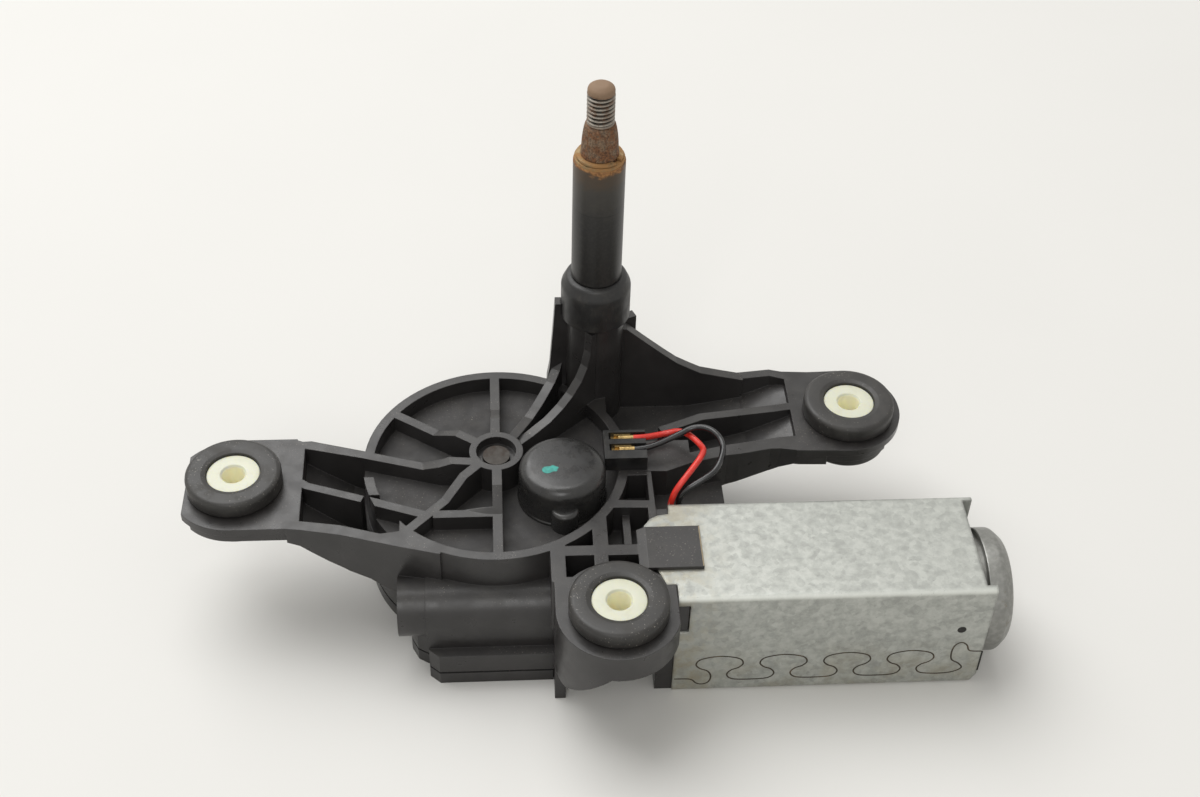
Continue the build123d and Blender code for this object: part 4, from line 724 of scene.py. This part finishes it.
class WIPER_OT_spindle(bpy.types.Operator):
    """Tower top: tube, collar, washer, circlip and the threaded spindle."""

    bl_idname = "wiper.spindle"
    bl_label = "Spindle"

    bore, neck, shoulder = 6.4 * MM, 7.1 * MM, 84.3 * MM
    ring_outer, ring_inner, slope = 9.0 * MM, 7.76 * MM, 3.4 * MM
    shaft, groove_radius, crest = 5.4 * MM, 5.0 * MM, 3.94 * MM
    groove, groove_half = 126.3 * MM, 0.4 * MM
    cone_low, cone_high, cone_step, cone_fall = 128.0 * MM, 136.4 * MM, 0.2 * MM, 0.9 * MM
    thread_low, thread_high, run_in = 136.9 * MM, 146.2 * MM, 0.8 * MM
    flutes, flute_depth = 36, 0.07 * MM

    def execute(self, context):
        sizes, colours, _ = settings()
        low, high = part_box("output_spindle")
        axis = ((low.x + high.x) / 2, (low.y + high.y) / 2, 0)
        self.spindle(sizes, colours, axis, low.z, high.z)
        self.tube(axis)
        self.collar(axis, plain_plastic("collar_plastic", colours.collar, 0.44))
        rusty = steel_finish("rusty_ring", (0.30, 0.22, 0.12), 0.5, 0.9, (0.34, 0.18, 0.065))
        paint(rusty, "spindle_washer", "spindle_circlip")
        return {"FINISHED"}

    def tube(self, axis):
        """Turned tube: a thin neck in the tower and the full wall above the shoulder."""
        low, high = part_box("spindle_tube")
        wall = (high.x - low.x) / 2
        outline = rounded([
            (self.bore, low.z, 0), (self.neck, low.z, 0), (self.neck, self.shoulder, 0),
            (wall, self.shoulder, 0), (wall, high.z, 0.45 * MM), (self.bore, high.z, 0.2 * MM),
        ], 6)
        piece = lathe("tube_body", outline, axis)
        settle(piece, tube_finish(high.z), "housing", "tube_steel", "spindle_tube")

    def collar(self, axis, plastic):
        """Turned collar with a rounded shoulder and a flat ring round the tube."""
        low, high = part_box("spindle_collar")
        wide, inner = (high.x - low.x) / 2, self.neck + 0.02 * MM
        outline = rounded([
            (inner, low.z, 0), (wide, low.z, 0.5 * MM), (wide, high.z - self.slope, 3.2 * MM),
            (self.ring_outer, high.z - 0.4 * MM, 2.6 * MM), (self.ring_inner, high.z, 0.3 * MM),
            (inner, high.z, 0),
        ], 9)
        settle(lathe("collar_body", outline, axis), plastic, "housing", "collar_plastic", "spindle_collar")

    def spindle(self, sizes, colours, axis, bottom, top):
        """Turned spindle: shaft with a circlip groove, fluted cone, thread and rounded tip.

        The cone's radius falls with the square of the rise. In the thread the radius dips by a triangle wave
        of height / pitch - angle / turn, clipped flat at crests and roots, which fades in over the run-in.
        """
        shaft, crest, cut = self.shaft, self.crest, self.groove_radius
        groove_low, groove_high = self.groove - self.groove_half, self.groove + self.groove_half
        plain = rounded([
            (0, bottom, 0), (shaft, bottom, 0.4 * MM), (shaft, groove_low, 0), (cut, groove_low, 0),
            (cut, groove_high, 0), (shaft, groove_high, 0), (shaft, self.cone_low, 0.4 * MM),
        ])
        rise = np.linspace(0, 1, 9)[1:]
        narrowing = shaft - self.cone_step - self.cone_fall * rise**2
        cone = np.stack([narrowing, self.cone_low + rise * (self.cone_high - self.cone_low)], axis=1)
        step = np.array([(crest - 0.4 * MM, self.cone_high + 0.25 * MM), (crest, self.thread_low)])
        rows = np.linspace(self.thread_low, self.thread_high, 120)[1:]
        threaded = np.stack([np.full_like(rows, crest), rows], axis=1)
        blunt = crest - 0.1 * MM
        tip = rounded([(blunt, self.thread_high + 0.1 * MM, 0), (blunt, top - 1.1 * MM, 1.4 * MM),
                       (2.2 * MM, top, 2.0 * MM), (0, top, 0)], 6)

        def wave(radius, height, turn):
            turns = height / sizes.thread_pitch - turn / (2 * math.pi)
            ramp = np.abs((turns % 1.0) * 2 - 1)
            fade = np.clip((height - self.thread_low) / self.run_in, 0, 1)
            dip = np.clip(1.35 * ramp - 0.2, 0, 1) * sizes.thread_depth * fade
            in_thread = (height > self.thread_low) & (height <= self.thread_high)
            in_cone = (height > self.cone_low) & (height < self.cone_high)
            flute = self.flute_depth * np.cos(self.flutes * turn)
            return radius - np.where(in_thread, dip, 0) + np.where(in_cone, flute, 0)

        outline = np.concatenate([plain, cone, step, threaded, tip])
        piece = lathe("spindle_body", outline, axis, 144, wobble=wave, sharp=60)
        heights = (self.thread_low, self.thread_high)
        finish = spindle_finish(colours, axis, heights, crest - sizes.thread_depth, crest)
        settle(piece, finish, "spindle", "spindle_steel", "output_spindle")


class WIPER_OT_can(bpy.types.Operator):
    """Plated can with its puzzle seam, peen mark and domed bearing cap."""

    bl_idname = "wiper.can"
    bl_label = "Motor can"

    cap_plate, cap_neck, cap_socket, cap_crown = 2.9 * MM, 16.2 * MM, 6.9 * MM, 6.0 * MM
    dimple_place, dimple_radius = (131.3 * MM, 0, 24.3 * MM), 1.3 * MM
    slit_span, slit_width = (5.5 * MM, 8.0 * MM, 11.0 * MM, 14.3 * MM), 0.5 * MM
    seam_rise, mark_rise, mark_depth = 0.015 * MM, 0.02 * MM, 0.2 * MM
    # The seam's stretches as (x, z) on the front, in millimetres; a flank is measured from a tooth's middle.
    hook = [(50.0, 5.8), (54.6, 5.5), (56.4, 3.7), (58.0, 3.1), (59.7, 3.7), (60.5, 5.4)]
    flank = [(5.3, 14.5), (6.8, 12.3), (5.7, 10.4), (3.5, 9.2), (2.4, 7.4), (3.3, 5.6), (6.0, 4.8)]
    tail = [(122.0, 5.4), (126.4, 4.7), (131.2, 5.1), (134.0, 6.9), (132.8, 9.1), (130.5, 11.0),
            (130.0, 14.6), (130.6, 17.4), (132.3, 18.6), (134.0, 17.3), (135.2, 14.8), (138.9, 14.3)]
    first_tooth, tooth_pitch, tooth_top, teeth = 62.8, 18.5, 15.6, 4

    def execute(self, context):
        sizes, colours, _ = settings()
        low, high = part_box("motor_can")
        paint(zinc_finish(colours, sizes.fold_round, low.y, high.z, low.x), "motor_can", "cover_screws")
        self.end_cap(high.x, steel_finish("pressed_steel", colours.pressed, 0.40, 0.03, (0.20, 0.17, 0.13)))
        dark = plain_plastic("seam_shadow", colours.seam, 0.7, 0, (0.14, 0.10, 0.06), 0.8)
        self.seam(low.y, sizes.seam_width, dark)
        self.marks(low.y, high.x)
        return {"FINISHED"}

    def end_cap(self, lips, pressed):
        """Turned cap: a neck inside the can's lips and a domed disc over them, hollow at the bearing."""
        low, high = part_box("can_end_cap")
        radius, plate, over = (high.y - low.y) / 2, lips - self.cap_plate, lips + 0.1 * MM
        outline = rounded([
            (0, low.x, 0), (self.cap_socket, low.x, 0), (self.cap_socket, plate, 0),
            (self.cap_neck, plate, 0), (self.cap_neck, over, 0), (radius, over, 0.5 * MM),
            (radius, high.x - 3.6 * MM, 2.5 * MM), (radius - 3.0 * MM, high.x - 0.4 * MM, 3.0 * MM),
            (self.cap_crown, high.x, 2.0 * MM), (0, high.x, 0),
        ], 8)
        dome = lathe("end_cap_dome", outline, (0, (low.y + high.y) / 2, (low.z + high.z) / 2), along="X")
        settle(dome, pressed, "housing", "zinc_plate", "can_end_cap")

    def seam(self, front, width, dark):
        """Dark joint line: a hook, equal teeth at one pitch with each flank mirrored, and a last hook."""
        open_flank = self.flank[:5]
        route = self.hook + [(self.first_tooth - x, z) for x, z in reversed(open_flank)]
        for k in range(self.teeth):
            middle = self.first_tooth + k * self.tooth_pitch
            last = k == self.teeth - 1
            route += [(middle, self.tooth_top)]
            route += [(middle + x, z) for x, z in (open_flank if last else self.flank)]
            if not last:
                route += [(middle + self.tooth_pitch - x, z) for x, z in reversed(self.flank)]
        path = smooth_route(route + self.tail) * MM
        points = np.stack([path[:, 0], np.full(len(path), front), path[:, 1]], axis=1)
        line = ribbon("can_seam", points, (0, -1, 0), width, self.seam_rise)
        settle(line, dark, "housing", "zinc_plate")

    def marks(self, front, lips):
        """Peened dimple and the dark slit in the front beside the can's lips, both painted shadow."""
        # Painted shadow: dark discs and strips stand for the shade in the dimple and the slit.
        pit_shadow_paint = plain_plastic("pit_shadow", (0.012, 0.011, 0.01), 0.8)
        near, far, wide = front - self.mark_rise, front + self.mark_depth, self.dimple_radius
        pit = rounded([(0, near, 0), (wide, near, 0), (wide, far, 0), (0, far, 0)])
        dimple = lathe("can_dimple", pit, self.dimple_place, 40, along="Y")
        route = [(lips, front, z) for z in self.slit_span]
        slit = ribbon("can_slit", route, (0, -1, 0), self.slit_width, self.mark_rise)
        for piece in (dimple, slit):
            settle(piece, pit_shadow_paint, "housing", "zinc_plate")


class WIPER_OT_wires(bpy.types.Operator):
    """Red and black jumper wires from the terminals down behind the can."""

    bl_idname = "wiper.wires"
    bl_label = "Wires"

    # Routes as (x, y, z) in millimetres: each starts level in the holder and ends at the brush plate.
    feed_y, return_y, holder_z, plate_z = 4.3, -0.5, 44.925, 25.15
    red_route = [
        (41.0, feed_y, holder_z), (44.4, feed_y, holder_z), (50.6, 7.1, 43.6), (56.2, 6.2, 46.0),
        (61.4, -1.5, 46.3), (60.9, -6.4, 48.0), (55.4, -13.6, 46.5), (51.2, -16.7, 42.1),
        (50.6, -16.2, 33.6), (50.4, -17.2, plate_z),
    ]
    black_route = [
        (41.0, return_y, holder_z), (44.6, return_y, holder_z), (53.8, 2.5, 47.1), (59.1, 4.8, 48.7),
        (64.3, 2.3, 49.9), (67.7, -2.9, 48.2), (64.7, -11.8, 47.4), (60.6, -14.3, 45.8),
        (52.9, -16.5, 42.0), (53.5, -16.2, 32.5), (52.9, -17.2, plate_z),
    ]

    def execute(self, context):
        sizes, colours, _ = settings()
        radius = sizes.wire_diameter / 2
        self.wire("red", self.red_route, radius, wire_finish("red_insulation", colours.red, 0.34))
        self.wire("black", self.black_route, radius, wire_finish("black_insulation", colours.black, 0.22))
        brass = brass_finish("terminal_brass", colours.brass)
        paint(brass, "terminal_feed", "terminal_return", "connector_pins", "brush_springs")
        return {"FINISHED"}

    def wire(self, tint, route, radius, insulation):
        """Round curve of the given radius, a quadratic B-spline held at both ends of its route."""
        data = bpy.data.curves.new(f"{tint}_jumper", "CURVE")
        data.dimensions = "3D"
        data.bevel_depth = radius
        data.bevel_resolution = 6
        data.resolution_u = 16
        data.use_fill_caps = True
        spline = data.splines.new("NURBS")
        spline.points.add(len(route) - 1)
        for point, spot in zip(spline.points, route):
            point.co = (*(part * MM for part in spot), 1.0)
        spline.order_u = 3
        spline.use_endpoint_u = True
        piece = bpy.data.objects.new(f"{tint}_jumper", data)
        bpy.context.scene.collection.objects.link(piece)
        settle(piece, insulation, "housing", f"{tint}_insulation", f"{tint}_wire")


class WIPER_OT_works(bpy.types.Operator):
    """Gear train, armature, bearings and brushes inside the casings."""

    bl_idname = "wiper.works"
    bl_label = "Inner works"

    def execute(self, context):
        _, colours, _ = settings()
        acetal = plain_plastic("gear_plastic", colours.acetal, 0.35, 0.1 * MM, (0.5, 0.45, 0.33))
        dark_pin = steel_finish("dark_pin", (0.060, 0.055, 0.050), 0.5, 0.45, (0.045, 0.032, 0.024))
        paint(dark_pin, "wheel_axle_pin")
        paint(steel_finish("pin_steel", colours.steel), "crank_pin", "connecting_rod", "rod_pin",
              "sector_gear", "sector_pivot_pin", "pinion", "armature_shaft")
        paint(acetal, "worm_wheel", "thrust_plug")
        paint(brass_finish("bush_bronze", colours.bronze), "lower_bush", "upper_bush",
              "rear_bearing", "front_bearing")
        paint(brass_finish("winding_copper", colours.copper), "armature_windings", "commutator")
        paint(plain_plastic("ferrite", (0.03, 0.03, 0.032), 0.6), "magnets", "brushes")
        paint(steel_finish("core_steel", (0.16, 0.16, 0.165), 0.5), "armature_core")
        return {"FINISHED"}


class WIPER_OT_stage(bpy.types.Operator):
    """Pale floor, soft lamps, even surround and the camera."""

    bl_idname = "wiper.stage"
    bl_label = "Stage"

    def execute(self, context):
        _, _, stage = settings()
        self.floor(stage.floor_half, floor_finish(stage.floor))
        self.lamp("overhead", stage.overhead_place, stage.aim, stage.overhead_size, stage.overhead_power)
        self.lamp("front", stage.front_place, stage.aim, stage.front_size, stage.front_power)
        self.surround(stage)
        self.camera(stage)
        context.scene.view_settings.view_transform = "Standard"
        return {"FINISHED"}

    def floor(self, half, paper):
        """Square sheet under the part."""
        corners = [(-half, -half, 0), (half, -half, 0), (half, half, 0), (-half, half, 0)]
        ground = mesh_object("floor", corners, [[0, 1, 2, 3]])
        ground.data.materials.append(paper)

    def lamp(self, name, spot, aim, size, watts):
        """Square soft box that faces its aim."""
        data = bpy.data.lights.new(name, "AREA")
        data.size = size
        data.energy = watts
        lamp = bpy.data.objects.new(name, data)
        lamp.location = spot
        lamp.rotation_euler = (Vector(aim) - Vector(spot)).to_track_quat("-Z", "Y").to_euler()
        bpy.context.scene.collection.objects.link(lamp)

    def surround(self, stage):
        """Even pale world, brighter to the camera and in reflections than as light on the part."""
        world = bpy.data.worlds.new("studio")
        bpy.context.scene.world = world
        world.use_nodes = True
        tree = world.node_tree
        background = tree.nodes["Background"]
        background.inputs["Color"].default_value = (*stage.surround, 1)
        ray = tree.nodes.new("ShaderNodeLightPath").outputs
        seen = ray["Is Camera Ray"]
        for kind in ("Is Glossy Ray", "Is Transmission Ray"):
            either = tree.nodes.new("ShaderNodeMath")
            either.operation = "MAXIMUM"
            tree.links.new(seen, either.inputs[0])
            tree.links.new(ray[kind], either.inputs[1])
            seen = either.outputs[0]
        level = tree.nodes.new("ShaderNodeMapRange")
        level.inputs["To Min"].default_value = stage.surround_light
        level.inputs["To Max"].default_value = stage.surround_seen
        tree.links.new(seen, level.inputs["Value"])
        tree.links.new(level.outputs["Result"], background.inputs["Strength"])

    def camera(self, stage):
        """The camera's axes come from its yaw, pitch and roll about the line of sight."""
        yaw, pitch, roll = stage.camera_yaw, stage.camera_pitch, stage.camera_roll
        ahead = Vector((math.sin(yaw) * math.cos(pitch), math.cos(yaw) * math.cos(pitch), -math.sin(pitch)))
        right = Vector((math.cos(yaw), -math.sin(yaw), 0))
        down = ahead.cross(right)
        across = math.cos(roll) * right + math.sin(roll) * down
        below = -math.sin(roll) * right + math.cos(roll) * down
        turn = Matrix((across, -below, -ahead)).transposed().to_4x4()
        data = bpy.data.cameras.new("camera")
        data.sensor_width = SENSOR
        data.lens = stage.lens
        data.clip_start = 0.01
        camera = bpy.data.objects.new("camera", data)
        camera.matrix_world = Matrix.Translation(Vector(stage.camera_place)) @ turn
        bpy.context.scene.collection.objects.link(camera)
        bpy.context.scene.camera = camera


class WIPER_PT_panel(bpy.types.Panel):
    """Sidebar panel that lists the steps in their order."""

    bl_idname = "WIPER_PT_panel"
    bl_label = "Wiper Motor"
    bl_space_type = "VIEW_3D"
    bl_region_type = "UI"
    bl_category = "Wiper Motor"

    def draw(self, context):
        """Every value that can be set, then a button for each step."""
        for group in settings():
            for key in group.__annotations__:
                self.layout.prop(group, key)
        for step in STEPS:
            self.layout.operator(step.bl_idname)


STEPS = (WIPER_OT_stage, WIPER_OT_wires, WIPER_OT_housing, WIPER_OT_cap, WIPER_OT_grommets, WIPER_OT_spindle,
         WIPER_OT_can, WIPER_OT_works)
GROUPS = {"wiper_sizes": WiperMotorSizes, "wiper_colours": WiperMotorColours, "wiper_stage": WiperMotorStage}


def register():
    """Add the groups of values, the steps and the panel."""
    for group in GROUPS.values():
        bpy.utils.register_class(group)
    for key, group in GROUPS.items():
        setattr(bpy.types.Scene, key, bpy.props.PointerProperty(type=group))
    for step in STEPS:
        bpy.utils.register_class(step)
    bpy.utils.register_class(WIPER_PT_panel)


def unregister():
    """Take them away again, last first."""
    bpy.utils.unregister_class(WIPER_PT_panel)
    for step in reversed(STEPS):
        bpy.utils.unregister_class(step)
    for key, group in reversed(GROUPS.items()):
        delattr(bpy.types.Scene, key)
        bpy.utils.unregister_class(group)


def main():
    """Register the add-on and run every step in order."""
    register()
    for step in STEPS:
        family, call = step.bl_idname.split(".")
        getattr(getattr(bpy.ops, family), call)()


if __name__ == "__main__":
    main()
